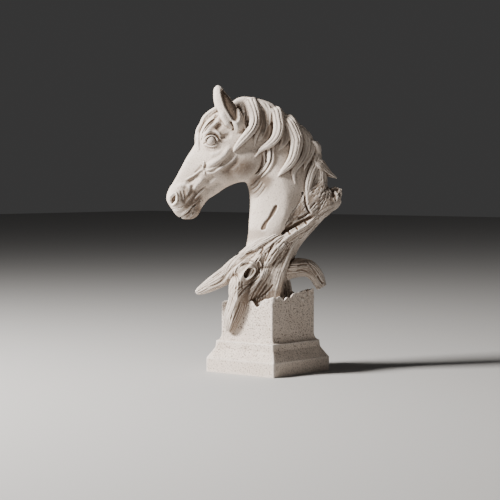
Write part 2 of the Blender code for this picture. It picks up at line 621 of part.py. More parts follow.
def make_plinth():
    """Square plinth: foot slab, sloping shoulder, band, cove and shaft with a broken rim."""
    levels = [
        (FOOT_WIDTH, FOOT_HEIGHT), (SHOULDER_WIDTH, SHOULDER_HEIGHT), (BAND_WIDTH, BAND_HEIGHT),
    ]
    for step in (1, 2, 3, 4):
        angle = step / 4 * math.pi / 2
        cove = (BAND_WIDTH - SHAFT_WIDTH) * (1 - math.sin(angle))
        levels.append((SHAFT_WIDTH + cove, BAND_HEIGHT + COVE_HEIGHT * (1 - math.cos(angle))))
    levels.append((SHAFT_WIDTH, RIM_HEIGHT))
    bm = bmesh.new()
    turned = Matrix.Rotation(math.radians(45), 3, "Z")
    bmesh.ops.create_circle(bm, cap_ends=False, segments=4, radius=FOOT_WIDTH / math.sqrt(2))
    bmesh.ops.rotate(bm, verts=bm.verts, matrix=turned)
    ring = bm.edges[:]
    width, reached = FOOT_WIDTH, 0.0
    for next_width, height in levels:
        grown = bmesh.ops.extrude_edge_only(bm, edges=ring)["geom"]
        verts = [e for e in grown if isinstance(e, bmesh.types.BMVert)]
        ring = [e for e in grown if isinstance(e, bmesh.types.BMEdge)
                and all(v in verts for v in e.verts)]
        grow = next_width / width
        bmesh.ops.scale(bm, verts=verts, vec=(grow, grow, 1))
        bmesh.ops.translate(bm, verts=verts, vec=(0, 0, height - reached))
        width, reached = next_width, height
    bmesh.ops.holes_fill(bm, edges=bm.edges)
    bmesh.ops.recalc_face_normals(bm, faces=bm.faces)
    uprights = [e for e in bm.edges if abs(e.verts[0].co.z - e.verts[1].co.z) > 1e-6]
    bmesh.ops.bevel(bm, geom=uprights, offset=CORNER_ROUND, segments=2, profile=0.5,
                    affect="EDGES", material=-1)
    top = max(bm.faces, key=lambda f: f.calc_center_median().z)
    sides = [e for e in top.edges if e.calc_length() > SHAFT_WIDTH / 2]
    bmesh.ops.subdivide_edges(bm, edges=sides, cuts=RIM_POINTS)
    top = max(bm.faces, key=lambda f: f.calc_center_median().z)
    outer = list(top.verts)
    bmesh.ops.inset_individual(bm, faces=[top], thickness=RIM_THICKNESS / 2)
    middle = list(top.verts)
    bmesh.ops.inset_individual(bm, faces=[top], thickness=RIM_THICKNESS / 2)
    inner = list(top.verts)
    bmesh.ops.triangulate(bm, faces=bm.faces)
    for verts, drop in ((outer, 0.0), (middle, 0.0008), (inner, FLOOR_DEPTH)):
        for v in verts:
            spread = SHAFT_WIDTH / 2 / max(abs(v.co.x), abs(v.co.y))
            v.co.z = rim_height(v.co.x * spread, v.co.y * spread) - drop
    return object_from(bm, "plinth")


def resin():
    """Sand-coloured cast resin with a matt finish."""
    material = bpy.data.materials.new("sandstone_resin")
    material.use_nodes = True
    shader = material.node_tree.nodes["Principled BSDF"]
    shader.inputs["Base Color"].default_value = (0.62, 0.54, 0.47, 1)
    shader.inputs["Roughness"].default_value = 0.82
    shader.inputs["Metallic"].default_value = 0
    return material


def main():
    """Builds the casting: the plinth with the figure joined to it."""
    for obj in list(bpy.data.objects):
        bpy.data.objects.remove(obj)
    statue_collection = bpy.data.collections.new("horse head statue")
    working = bpy.data.collections.new("working forms")
    for collection in (statue_collection, working):
        bpy.context.scene.collection.children.link(collection)
    figure = make_figure()
    statue = make_plinth()
    # The thinned skin may cross itself at hair tips, where the exact solver drops the body
    join = statue.modifiers.new("casting", "BOOLEAN")
    join.operation = "UNION"
    join.solver = "MANIFOLD"
    join.object = figure
    statue.data = evaluated_mesh(statue)
    statue.modifiers.clear()
    bpy.data.objects.remove(figure)
    working.objects.unlink(statue)
    statue_collection.objects.link(statue)
    statue.name = "horse_head_statue"
    statue.data.materials.clear()
    statue.data.materials.append(resin())
    statue.data.shade_smooth()
    statue.data.set_sharp_from_angle(angle=math.radians(50))
    return statue


main()
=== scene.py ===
"""Looks of the horse head statue, one cast resin ornament with a brown wash over sand colour.

The carving is worked in millimetres on the sculptor's pattern: f is forward along the horse's
look, y to its left, z up from the underside of the plinth. The near side is the horse's left.
The finished pieces are placed in the frame in metres, on the diagonal of the plinth.
"""

import logging
import math
from dataclasses import dataclass, field
from enum import Enum

import bmesh
import bpy
import numpy as np
from mathutils import Matrix, Vector
from mathutils.bvhtree import BVHTree
from mathutils.kdtree import KDTree
from numpy.typing import ArrayLike

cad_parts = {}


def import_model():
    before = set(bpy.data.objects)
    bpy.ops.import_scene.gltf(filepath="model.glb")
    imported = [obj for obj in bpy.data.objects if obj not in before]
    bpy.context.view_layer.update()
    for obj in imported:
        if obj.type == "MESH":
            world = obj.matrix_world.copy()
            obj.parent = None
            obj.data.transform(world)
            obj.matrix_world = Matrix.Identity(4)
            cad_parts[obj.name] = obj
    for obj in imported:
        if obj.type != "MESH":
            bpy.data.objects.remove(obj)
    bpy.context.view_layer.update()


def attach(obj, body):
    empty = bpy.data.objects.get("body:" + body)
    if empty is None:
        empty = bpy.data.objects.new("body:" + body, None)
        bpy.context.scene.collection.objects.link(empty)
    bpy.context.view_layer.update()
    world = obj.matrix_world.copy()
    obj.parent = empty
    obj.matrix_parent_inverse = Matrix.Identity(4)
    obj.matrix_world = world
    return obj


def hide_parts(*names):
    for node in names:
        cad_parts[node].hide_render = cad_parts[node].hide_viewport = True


log = logging.getLogger("statue")

NODE = "horse_head_statue"
BODY = "root"

MM = 0.001
RIM_HEIGHT = 84.0
LOOK_ANGLE = math.radians(225)
SHAFT_WIDTH = 73.0

Pair = tuple[float, float]
Triple = tuple[float, float, float]
Carved = tuple[tuple[Pair, ...], float, float]
Term = bpy.types.NodeSocket | float | Triple


class Side(Enum):
    """Which side of the horse is worked on."""

    NEAR = 1
    FAR = -1


def smooth_path(points: ArrayLike, count: int) -> np.ndarray:
    """Evenly spaced Catmull-Rom points through rows of numbers.

    Args:
        points: rows of equal length, or single numbers.
        count: how many rows to return.

    Returns:
        The rows on the smooth curve.
    """
    p = np.asarray(points, float)
    p = p[:, None] if p.ndim == 1 else p
    spans = len(p) - 1
    padded = np.vstack([2 * p[0] - p[1], p, 2 * p[-1] - p[-2]])
    place = np.linspace(0, spans, count)
    i = np.minimum(place.astype(int), spans - 1)
    t = (place - i)[:, None]
    a, b, c, d = (padded[i + k] for k in range(4))
    return 0.5 * (2 * b + (c - a) * t + (2 * a - 5 * b + 4 * c - d) * t**2
                  + (3 * b - a - 3 * c + d) * t**3)


def evened(rows: np.ndarray, times: int) -> np.ndarray:
    """The rows with their bumps averaged out, ends kept.

    Args:
        rows: numbers or rows of numbers along a line.
        times: how often they are averaged.

    Returns:
        The smoother rows.
    """
    rows = rows.copy()
    for _ in range(times):
        rows[1:-1] = (rows[:-2] + 2 * rows[1:-1] + rows[2:]) / 4
    return rows


def unit(rows: np.ndarray) -> np.ndarray:
    """Each row at length one."""
    return rows / np.maximum(np.linalg.norm(rows, axis=1), 1e-9)[:, None]


def eased(share: np.ndarray) -> np.ndarray:
    """The share from 0 to 1 with a soft start and end."""
    return share * share * (3 - 2 * share)


def ramp(values: np.ndarray, start: float, width: float) -> np.ndarray:
    """0 up to the start and 1 from one width further on."""
    return np.clip((values - start) / width, 0, 1)


def nearest_on(path: np.ndarray, points: np.ndarray) -> tuple[np.ndarray, np.ndarray]:
    """How far points lie from a path.

    Args:
        path: places along the path.
        points: places to measure from, one row each.

    Returns:
        The distance of each point, and how far along the path its nearest place is, from 0 to 1.
    """
    nearest = np.full(len(points), np.inf)
    share = np.zeros(len(points))
    for n, (a, b) in enumerate(zip(path, path[1:])):
        step = b - a
        t = np.clip((points - a) @ step / max(step @ step, 1e-9), 0, 1)
        far = np.linalg.norm(points - a - t[:, None] * step, axis=1)
        closer = far < nearest
        nearest[closer] = far[closer]
        share[closer] = (n + t[closer]) / (len(path) - 1)
    return nearest, share


def grain_noise(points: np.ndarray, cell: float, seed: int) -> np.ndarray:
    """Smooth noise between -1 and 1 on a lattice of random values.

    Args:
        points: places to read, one row each.
        cell: size of the lattice cell, in the units of the points.
        seed: picks the random values.

    Returns:
        One value for each row.
    """
    p = points / cell
    base = np.floor(p).astype(np.int64)
    t = eased(p - base)
    total = np.zeros(len(p))
    for corner in np.ndindex(2, 2, 2):
        c = base + corner
        mixed = (c[:, 0] * 73856093) ^ (c[:, 1] * 19349663) ^ (c[:, 2] * 83492791) ^ (seed * 40503)
        mixed = (mixed ^ (mixed >> 13)) * 1274126177
        value = ((mixed >> 8) & 0xFFFF) / 32767.5 - 1
        total += value * np.prod(np.where(corner, t, 1 - t), axis=1)
    return total


def within(ring: np.ndarray, points: np.ndarray) -> np.ndarray:
    """Which points lie inside a closed line.

    Args:
        ring: places along the line, the last on the first.
        points: flat points, one row each.

    Returns:
        True for each point inside.
    """
    inside = np.zeros(len(points), bool)
    for a, b in zip(ring, ring[1:]):
        step = b - a
        crosses = (a[1] > points[:, 1]) != (b[1] > points[:, 1])
        slope = step[0] / (step[1] if abs(step[1]) > 1e-9 else 1e-9)
        inside ^= crosses & (points[:, 0] < a[0] + (points[:, 1] - a[1]) * slope)
    return inside


def object_from(bm: bmesh.types.BMesh, name: str) -> bpy.types.Object:
    """A linked object from a bmesh, faces outwards.

    Args:
        bm: the form, which is used up.
        name: name of the object and its mesh.

    Returns:
        The new object.
    """
    bmesh.ops.recalc_face_normals(bm, faces=bm.faces)
    mesh = bpy.data.meshes.new(name)
    bm.to_mesh(mesh)
    bm.free()
    obj = bpy.data.objects.new(name, mesh)
    bpy.context.scene.collection.objects.link(obj)
    return obj


def apply_modifiers(obj: bpy.types.Object) -> None:
    """Replaces the object's mesh by its evaluated mesh.

    Args:
        obj: an object with modifiers.
    """
    graph = bpy.context.evaluated_depsgraph_get()
    mesh = bpy.data.meshes.new_from_object(obj.evaluated_get(graph))
    old = obj.data
    obj.modifiers.clear()
    obj.data = mesh
    bpy.data.meshes.remove(old)


def loft(rings: list[np.ndarray], name: str) -> bpy.types.Object:
    """A closed skin over rings: a grid rolled into a tube, sewn along its seam and capped.

    Args:
        rings: the sections from end to end, with equal point counts.
        name: name of the object.

    Returns:
        The new object.
    """
    around = len(rings[0])
    bm = bmesh.new()
    bmesh.ops.create_grid(bm, x_segments=around, y_segments=len(rings) - 1, size=1)
    places = np.concatenate([np.vstack([ring, ring[:1]]) for ring in rings])
    for vert, place in zip(bm.verts, places):
        vert.co = place
    bmesh.ops.remove_doubles(bm, verts=bm.verts, dist=1e-5)
    bmesh.ops.holes_fill(bm, edges=[e for e in bm.edges if e.is_boundary])
    return object_from(bm, name)


def tube(points: ArrayLike, radii: ArrayLike, name: str, rings: int = 60, around: int = 24,
         ) -> bpy.types.Object:
    """A round form along (f, z) points in the middle plane.

    Args:
        points: its middle line.
        radii: its radius along the line.
        name: name of the object.
        rings: sections along it.
        around: points round each section.

    Returns:
        The closed form.
    """
    flat, radius = smooth_path(points, rings), smooth_path(radii, rings)
    path = np.column_stack([flat[:, 0], np.zeros(rings), flat[:, 1]])
    level = unit(np.cross(np.gradient(path, axis=0), (0.0, 1.0, 0.0)))
    turn = np.arange(around)[:, None] / around * 2 * math.pi
    return loft([path[i] + radius[i] * (np.cos(turn) * level[i] + np.sin(turn) * (0.0, 1.0, 0.0))
                 for i in range(rings)], name)


def fuse(objects: list[bpy.types.Object], voxel: float, name: str) -> bpy.types.Object:
    """One closed skin over all the given forms, which it uses up.

    Args:
        objects: the forms.
        voxel: grain of the new skin, in millimetres.
        name: name of the object.

    Returns:
        The object with the new skin.
    """
    bm = bmesh.new()
    for obj in objects:
        bm.from_mesh(obj.data)
        bpy.data.objects.remove(obj)
    obj = object_from(bm, name)
    remesh = obj.modifiers.new("one skin", "REMESH")
    remesh.mode = "VOXEL"
    remesh.voxel_size = voxel
    apply_modifiers(obj)
    return obj


def ellipsoid(centre: Triple, radii: Triple, turn: float = 0, side: Side = Side.NEAR,
              ) -> bpy.types.Object:
    """An ellipsoid turned about y, in degrees, on either side.

    Args:
        centre: its middle on the near side (f, y, z).
        radii: its three half sizes.
        turn: its turn about y.
        side: the side it is put on.

    Returns:
        The new object.
    """
    bm = bmesh.new()
    bmesh.ops.create_uvsphere(bm, u_segments=40, v_segments=24, radius=1)
    place = Matrix.Translation((centre[0], centre[1] * side.value, centre[2]))
    bm.transform(place @ Matrix.Rotation(math.radians(turn), 4, "Y") @ Matrix.Diagonal((*radii, 1)))
    return object_from(bm, "ellipsoid")


def ring_points(centre: Pair, radii: Pair, first: float, last: float, count: int = 25,
                ) -> list[Pair]:
    """Side-plane points on part of an ellipse, angles in degrees from straight forward.

    Args:
        centre: middle of the ellipse (f, z).
        radii: half its length and half its height.
        first: angle of the first point.
        last: angle of the last point.
        count: how many points there are.

    Returns:
        The points in order.
    """
    angles = np.radians(np.linspace(first, last, count))
    return [(centre[0] + radii[0] * math.cos(a), centre[1] + radii[1] * math.sin(a))
            for a in angles]


class Surface:
    """A skin on which side-plane points are cast from either side."""

    REACH = 90.0

    def __init__(self, obj: bpy.types.Object) -> None:
        """Reads the object's skin."""
        self.tree = BVHTree.FromObject(obj, bpy.context.evaluated_depsgraph_get())

    def lay(self, points: ArrayLike, side: Side, count: int) -> tuple[np.ndarray, np.ndarray]:
        """Casts side-plane points sideways onto the skin.

        Beyond the outline a point stays in the side plane, with the nearest outline's direction.

        Args:
            points: (f, z) points of a path.
            side: the side it is cast from.
            count: how many points the smooth path takes.

        Returns:
            The places on the skin and the directions out of it.
        """
        places, outs = [], []
        for f, z in smooth_path(points, count):
            middle = Vector((f, 0, z))
            start = Vector((f, self.REACH * side.value, z))
            hit, out, _, _ = self.tree.ray_cast(start, Vector((0, -side.value, 0)))
            if hit is None or hit.y * side.value < -1:
                near, out, _, _ = self.tree.find_nearest(middle)
                if (middle - near).length > 0.5:
                    out = (middle - near).normalized()
                hit = middle
            places.append(hit)
            outs.append(out)
        return np.array(places), np.array(outs)


class Clay:
    """A dense skin that is smoothed and carved by moving its points."""

    PULLS = (0.6, -0.54)  # towards the neighbours, then back out, so that the volume stays

    def __init__(self, obj: bpy.types.Object) -> None:
        """Takes the object's mesh in hand.

        Args:
            obj: an object with a closed mesh.
        """
        self.obj = obj
        self.read()

    def read(self) -> None:
        """Reads the mesh's points, edges and directions, with no brown marked yet."""
        self.mesh = self.obj.data
        self.places = np.empty(len(self.mesh.vertices) * 3)
        self.mesh.vertices.foreach_get("co", self.places)
        self.places = self.places.reshape(-1, 3)
        ends = np.empty(len(self.mesh.edges) * 2, np.int32)
        self.mesh.edges.foreach_get("vertices", ends)
        self.ends = ends.reshape(-1, 2)
        self.neighbours = np.maximum(np.bincount(ends, minlength=len(self.places)), 1)
        self.stain_and_shade = np.zeros(len(self.places))
        self.settle()

    def settle(self) -> None:
        """Writes the moved points to the mesh and reads its directions again."""
        self.mesh.vertices.foreach_set("co", self.places.ravel())
        self.mesh.update()
        out = np.empty(len(self.places) * 3, np.float32)
        self.mesh.vertex_normals.foreach_get("vector", out)
        self.out = out.reshape(-1, 3).astype(float)

    def mean_of_neighbours(self, values: np.ndarray) -> np.ndarray:
        """The mean of each point's neighbours, for one column of values or several.

        Args:
            values: one row for each point.

        Returns:
            The means in the same shape.
        """
        i, j = self.ends[:, 0], self.ends[:, 1]
        columns = values.reshape(len(values), -1)
        total = np.empty_like(columns)
        for k in range(columns.shape[1]):
            column = columns[:, k]
            total[:, k] = (np.bincount(i, column[j], len(column))
                           + np.bincount(j, column[i], len(column)))
        return (total / self.neighbours[:, None]).reshape(values.shape)

    def relax(self, times: int, mask: np.ndarray | None = None) -> None:
        """Smooths joins and steps and keeps the volume, all over or where the mask says.

        Args:
            times: how often it is smoothed.
            mask: share of the smoothing at each point.
        """
        share = 1.0 if mask is None else mask[:, None]
        for _ in range(times):
            for pull in self.PULLS:
                way = self.mean_of_neighbours(self.places) - self.places
                self.places += pull * share * way
        self.settle()

    def stroke(self, path: np.ndarray, half_width: float, height: float, ends: float = 0.18,
               ) -> None:
        """Raises a ridge along the path, or sinks a groove where the height is negative.

        Args:
            path: places along the stroke.
            half_width: distance from the path at which the stroke ends.
            height: how far the skin is moved at the path.
            ends: share of the length over which the stroke fades at each end.
        """
        low, high = path.min(0) - half_width, path.max(0) + half_width
        chosen = np.flatnonzero(((self.places > low) & (self.places < high)).all(1))
        nearest, share = nearest_on(path, self.places[chosen])
        bump = np.clip(1 - (nearest / half_width) ** 2, 0, 1) ** 2
        fade = eased(ramp(np.minimum(share, 1 - share), 0, ends))
        self.places[chosen] += self.out[chosen] * (height * bump * fade)[:, None]

    def carve(self, surface: Surface, strokes: tuple[Carved, ...], side: Side,
              ends: float = 0.18) -> None:
        """Makes a list of strokes on one side.

        Args:
            surface: the skin on which the strokes are laid.
            strokes: rows of (side-plane points, half width, height).
            side: the side to work on.
            ends: share of each stroke that fades at its ends.
        """
        for points, half_width, height in strokes:
            count = max(12, 5 * len(points))
            self.stroke(surface.lay(points, side, count)[0], half_width, height, ends)

    def sink(self, outline: tuple[Pair, ...], depth: float, edge: float, side: Side,
             stain_and_shade: float = 0.0, ragged: float = 0.0, beyond: float = 0.0) -> None:
        """Sinks the skin inside a closed outline drawn in the side plane.

        Args:
            outline: (f, z) corners, joined by a smooth line.
            depth: how far the inside is sunk.
            edge: width of the slope inside the outline.
            side: the side to work on.
            stain_and_shade: how much brown the inside keeps, staining hollows and painted shade on the
                patches marked so.
            ragged: how far the edge strays, for a torn edge.
            beyond: how far from the middle plane the skin has to lie; with it, the rim is
                sunk too and smoothed.
        """
        ring = smooth_path([*outline, outline[0]], 8 * len(outline))
        ring = np.vstack([ring, ring[:1]])
        flat = self.places[:, (0, 2)]
        near = ((flat > ring.min(0)) & (flat < ring.max(0))).all(1)
        facing = 0.1 if depth and not beyond else -0.5
        near &= (self.out[:, 1] * side.value > facing) & (self.places[:, 1] * side.value > beyond)
        chosen = np.flatnonzero(near)
        away, _ = nearest_on(ring, flat[chosen])
        if ragged:
            away -= ragged * (0.5 + 0.5 * grain_noise(self.places[chosen], 2.2, 61))
        share = eased(np.where(within(ring, flat[chosen]), ramp(away, 0, edge), 0))
        self.places[chosen] -= self.out[chosen] * (depth * share)[:, None]
        self.stain_and_shade[chosen] = np.maximum(self.stain_and_shade[chosen], stain_and_shade * share)
        if beyond:
            self.soften(chosen[share > 0])

    def soften(self, chosen: np.ndarray, spread: int = 4, times: int = 7) -> None:
        """Smooths the skin on and just round the chosen points.

        Args:
            chosen: numbers of the points.
            spread: how many points further it reaches.
            times: how often it is smoothed.
        """
        region = np.zeros(len(self.places))
        region[chosen] = 1
        for _ in range(spread):
            region = self.mean_of_neighbours(region)
        self.relax(times, np.clip(3 * region, 0, 1))

    def hollow(self, reaches: tuple[int, ...], depths: tuple[float, ...]) -> np.ndarray:
        """How sunk each point lies against its surroundings.

        Args:
            reaches: numbers of averaging steps at which the skin is compared with itself.
            depths: the depth in millimetres that counts as fully sunk at each reach.

        Returns:
            Values from -1, a sharp ridge, to 1, a deep recess.
        """
        smooth = self.places.copy()
        value = np.zeros(len(smooth))
        done = 0
        for reach, depth in zip(reaches, depths):
            for _ in range(reach - done):
                smooth = 0.5 * smooth + 0.5 * self.mean_of_neighbours(smooth)
            done = reach
            value += np.clip(((smooth - self.places) * self.out).sum(1) / depth, -1, 1)
        return np.clip(value, -1, 1)

    def keep_largest(self) -> None:
        """Deletes closed pockets and crumbs that aren't part of the main skin."""
        label = np.arange(len(self.places))
        i, j = self.ends[:, 0], self.ends[:, 1]
        while True:
            low = np.minimum(label[i], label[j])
            before = label.copy()
            np.minimum.at(label, i, low)
            np.minimum.at(label, j, low)
            label = label[label]
            if (label == before).all():
                break
        main = np.bincount(label).argmax()
        if (label == main).all():
            return
        bm = bmesh.new()
        bm.from_mesh(self.mesh)
        bm.verts.ensure_lookup_table()
        loose = [bm.verts[k] for k in np.flatnonzero(label != main)]
        bmesh.ops.delete(bm, geom=loose, context="VERTS")
        bm.to_mesh(self.mesh)
        bm.free()
        self.read()


def store(mesh: bpy.types.Mesh, name: str, values: np.ndarray) -> None:
    """Keeps one number per point on the mesh, for the finish to read."""
    layer = mesh.attributes.new(name, "FLOAT", "POINT")
    layer.data.foreach_set("value", values.astype(np.float32))


def thin(clay: Clay, triangles: int, marks: dict[str, np.ndarray]) -> None:
    """Thins the skin where it is flat and carries the marks over to the points that stay.

    Args:
        clay: the carved skin.
        triangles: how many triangles stay.
        marks: numbers per point, by name.
    """
    obj = clay.obj
    modifier = obj.modifiers.new("thin", "DECIMATE")
    modifier.ratio = min(1.0, triangles / (2 * len(clay.mesh.polygons)))
    modifier.use_collapse_triangulate = True
    tree = KDTree(len(clay.places))
    for n, place in enumerate(clay.places.tolist()):
        tree.insert(place, n)
    tree.balance()
    apply_modifiers(obj)
    nearest = [tree.find(v.co)[1] for v in obj.data.vertices]
    for name, values in marks.items():
        store(obj.data, name, values[nearest])


def occlusion_shade(objects: list[bpy.types.Object], reach: float = 16.0, looks: int = 14) -> None:
    """Marks painted shade by how closed in each point is: the share of looks outwards that meet a skin
    again.

    Args:
        objects: the skins, in millimetres, which shade one another.
        reach: how far each look goes.
        looks: how many directions are tried.
    """
    graph = bpy.context.evaluated_depsgraph_get()
    trees = [BVHTree.FromObject(obj, graph) for obj in objects]
    turn = np.arange(looks) * math.pi * (3 - math.sqrt(5))
    height = 1 - 2 * (np.arange(looks) + 0.5) / looks
    flat = np.sqrt(1 - height * height)
    ways = [Vector(way) for way in zip(flat * np.cos(turn), flat * np.sin(turn), height)]
    for obj in objects:
        values = []
        for vert in obj.data.vertices:
            out = vert.normal
            start = vert.co + out * 0.4
            looked = [out * 1.05 + way for way in ways]
            values.append(sum(any(tree.ray_cast(start, way, reach)[0] is not None
                                  for tree in trees) for way in looked) / looks)
        store(obj.data, "occlusion_shade", np.array(values))


@dataclass
class Horse:
    """Head, ears and neck, worked up to the mane."""

    skin_voxel: float = 0.62
    soft_voxel: float = 1.6
    eye_centre: Pair = (63.2, 252.6)
    eye_radius: float = 5.6
    eye_rise: float = 1.8
    ear_base: Triple = (35.5, 12.5, 270.0)
    ear_tip: Triple = (57.0, 14.5, 313.0)
    ear_bow: float = 0.8

    # Head sections from the lips to the poll: (top f, z), (jaw f, z), half widths at the top,
    # middle and jaw, squareness
    head: tuple = (
        ((111.5, 188), (101, 172), 6.5, 8.0, 6.0, 0.75),
        ((111.5, 194), (92, 167.5), 8.5, 12.0, 8.5, 0.75),
        ((108.5, 202), (78, 172), 9.5, 13.5, 8.5, 0.72),
        ((103.5, 209.5), (72, 181), 9.0, 12.5, 8.0, 0.72),
        ((97, 221.5), (66, 189), 8.5, 11.5, 8.5, 0.72),
        ((89.5, 235.5), (56, 195.5), 9.5, 13.5, 10.0, 0.72),
        ((81.5, 248), (46, 202.5), 12.5, 18.5, 13.5, 0.72),
        ((75.5, 262), (34, 207.5), 16.0, 21.0, 17.5, 0.70),
        ((69, 274.5), (20, 210.5), 16.5, 21.5, 20.0, 0.68),
        ((59, 284), (9, 221.5), 14.5, 20.0, 20.0, 0.68),
        ((46, 290), (2, 238), 11.5, 17.5, 18.0, 0.68),
        ((30, 290), (-3, 254), 9.0, 12.0, 12.0, 0.75),
    )
    # Neck sections from the poll down into the wood: (throat f, z), (crest f, z), half widths
    neck: tuple = (
        ((30, 218), (31, 295), 12.0, 14.5, 8.0, 0.85),
        ((25, 210), (13, 297), 14.0, 16.0, 8.0, 0.85),
        ((21.5, 201), (-6, 289), 16.0, 17.5, 8.0, 0.85),
        ((20, 191), (-24, 278), 18.0, 19.0, 8.5, 0.85),
        ((20, 180), (-39.5, 263), 20.0, 21.0, 9.0, 0.85),
        ((21, 166), (-52, 244), 22.0, 23.0, 10.0, 0.85),
        ((22, 150), (-57, 223), 24.0, 25.0, 12.0, 0.85),
        ((25, 132), (-55, 200), 23.5, 25.5, 13.0, 0.85),
        ((27, 112), (-44, 172), 18.0, 21.0, 13.0, 0.85),
        ((25, 92), (-28, 140), 15.0, 17.0, 12.0, 0.85),
    )
    # Muscle and bone on each side: centre (f, y, z), radii, turn about y
    masses: tuple = (
        ((62, 13.5, 254), (12, 7.2, 8.5), -50),
        ((27, 12, 230), (23, 9.8, 21), 0),
        ((100, 8.5, 193), (10, 6.0, 8), 0),
    )
    chin: tuple = ((84, 0, 175.5), (10, 9.0, 7.5), 30)
    # Rows of (share of the ear's length, half width, half thickness)
    ear_rows: tuple = (
        (-0.25, 4.0, 3.0), (-0.1, 8.5, 7.5), (0.05, 10.4, 9.0), (0.25, 11.4, 8.4), (0.5, 10.3, 7.2),
        (0.75, 7.6, 5.4), (0.92, 4.2, 3.2), (1.0, 1.4, 1.2),
    )
    # Outlines that are sunk: corners, depth, width of the slope and brown left inside, and where
    # it isn't nought the raggedness and the least distance from the middle plane
    sunk: tuple = (
        (((53.5, 309.5), (46, 312), (36, 304), (31.5, 297), (32, 290), (32, 283), (32.5, 277),
          (36, 272.5), (40.5, 274), (45.5, 281.5), (49.8, 289), (52.4, 297), (54.2, 305)), 2.4, 3.0,
         0.95, 0, 11),
        (((58.5, 272.5), (54, 274.5), (49.5, 271.5), (50.5, 266), (55, 262.5), (59.5, 266)), 1.3,
         3.4, 0.5),
        (((108.5, 188), (107, 191), (104.5, 193.5), (101.5, 195), (101.5, 191.5), (102, 187.5),
          (104, 185.5), (106.5, 184)), 3.4, 1.3, 0.7),
        (((58, 283.5), (54, 281.5), (58.5, 275.5), (64.5, 270.5), (70.5, 263), (72.5, 259),
          (73, 266), (67, 273), (62, 279)), 1.4, 1.8, 0.75),
        # Patches of nought depth: painted shade on the cheek, muzzle and chin turned from the light,
        # round the eye, under the jaw and between the locks
        (((60, 222), (50, 234), (38, 242), (22, 242), (10, 232), (12, 218), (24, 209), (40, 206),
          (56, 212)), 0, 15, 0.9),
        (((99, 197), (90, 206), (78, 202), (70, 190), (76, 178), (88, 174), (98, 182)), 0, 6, 0.85),
        (((96, 171), (88, 178), (78, 184), (70, 180), (74, 168), (86, 162)), 0, 5, 0.8),
        (((74, 262), (64, 280), (48, 274), (40, 262), (44, 250), (56, 246), (70, 246)), 0, 8, 0.55),
        (((24, 214), (8, 222), (-8, 214), (-2, 198), (14, 188), (26, 196)), 0, 9, 0.85),
        (((12, 288), (4, 290), (-2, 280), (-3, 268), (-1, 258), (6, 254), (12, 262), (13, 275)), 0,
         4, 0.75),
        (((-14, 280), (-20, 274), (-24, 262), (-21, 250), (-14, 246), (-13, 258), (-15, 270)), 0, 4,
         0.7),
        (((-34, 262), (-42, 252), (-44, 236), (-40, 220), (-33, 214), (-33, 230), (-36, 246)), 0, 4,
         0.55),
    )
    # The long cut in the near side of the neck, and the brown above the wood
    near_sunk: tuple = (
        (((-6.5, 184.6), (-4.2, 182.7), (-1, 177.3), (2.1, 171), (6.8, 165), (9.9, 159.4), (9, 155.5),
          (4.4, 157), (2.1, 163.3), (-4.2, 171.8), (-8.4, 179.6), (-8.9, 183.5)), 1.7, 1.0, 0.95, 0.4),
        (((28, 160), (12, 160), (0, 158), (4, 148), (16, 142), (28, 138)), 0, 7, 0.5),
    )
    # Soft forms of bone and muscle, laid before the hair: points, half width, height
    forms: tuple = (
        (((43, 250), (45, 243.5), (51, 236), (58.5, 230.5), (65, 227), (68.5, 223.5)), 5.0, 2.3),
        (((40, 245), (43.5, 235), (50, 229), (59, 224.5)), 5.6, -1.7),
        (((33.5, 238.5), (41, 232), (49, 227), (55.5, 223), (63, 219.5)), 3.2, 1.5),
        (((31, 237), (38.5, 228.5), (47.5, 221.5), (57, 217.5)), 4.0, -1.0),
        (((101, 200.5), (98, 204), (93.5, 205.5), (88.5, 205), (86, 201), (87, 195.5)), 4.4, 1.7),
        (((73, 219), (77.5, 215.5), (81.5, 213), (84.5, 210.5), (89, 208), (92.5, 207)), 4.4, -1.5),
        (((59, 216), (62, 213.5), (66, 210), (70.5, 205.5)), 5.0, -1.5),
        (((70.5, 214.5), (74, 210), (78, 205.5), (81.5, 201), (82, 197.5)), 3.8, 1.5),
        (((50.5, 210.5), (61.5, 203), (72.5, 197.5)), 5.5, -1.3),
        (((80, 214), (90, 204), (94, 192)), 3.2, -0.8),
        (((51.5, 276), (56.5, 273), (61.5, 268.5), (66, 264), (70.5, 258.5)), 4.0, 2.3),
        (((54, 286), (50.5, 279), (46.5, 272.5), (43.5, 266.5)), 5.4, 2.8),
        (((41, 260), (45.5, 258.5), (50, 256.5), (54, 254)), 4.4, -1.7),
        (((69, 263), (63, 265), (57, 263), (51, 258)), 3.4, 1.6),
        (((70, 246), (64, 243), (56, 244), (51, 249)), 3.6, -1.0),
        (((66, 239), (58, 239), (52, 243)), 4.0, 0.9),
        (((0, 254), (2, 240), (8, 225), (17, 213), (26, 206)), 6.0, -1.7),
        (((82, 184), (84.5, 181.5), (88.5, 178), (93.5, 173.5), (98, 171)), 3.0, 1.3),
        (((90, 168), (86, 171), (82, 175)), 3.0, 0.9),
    )
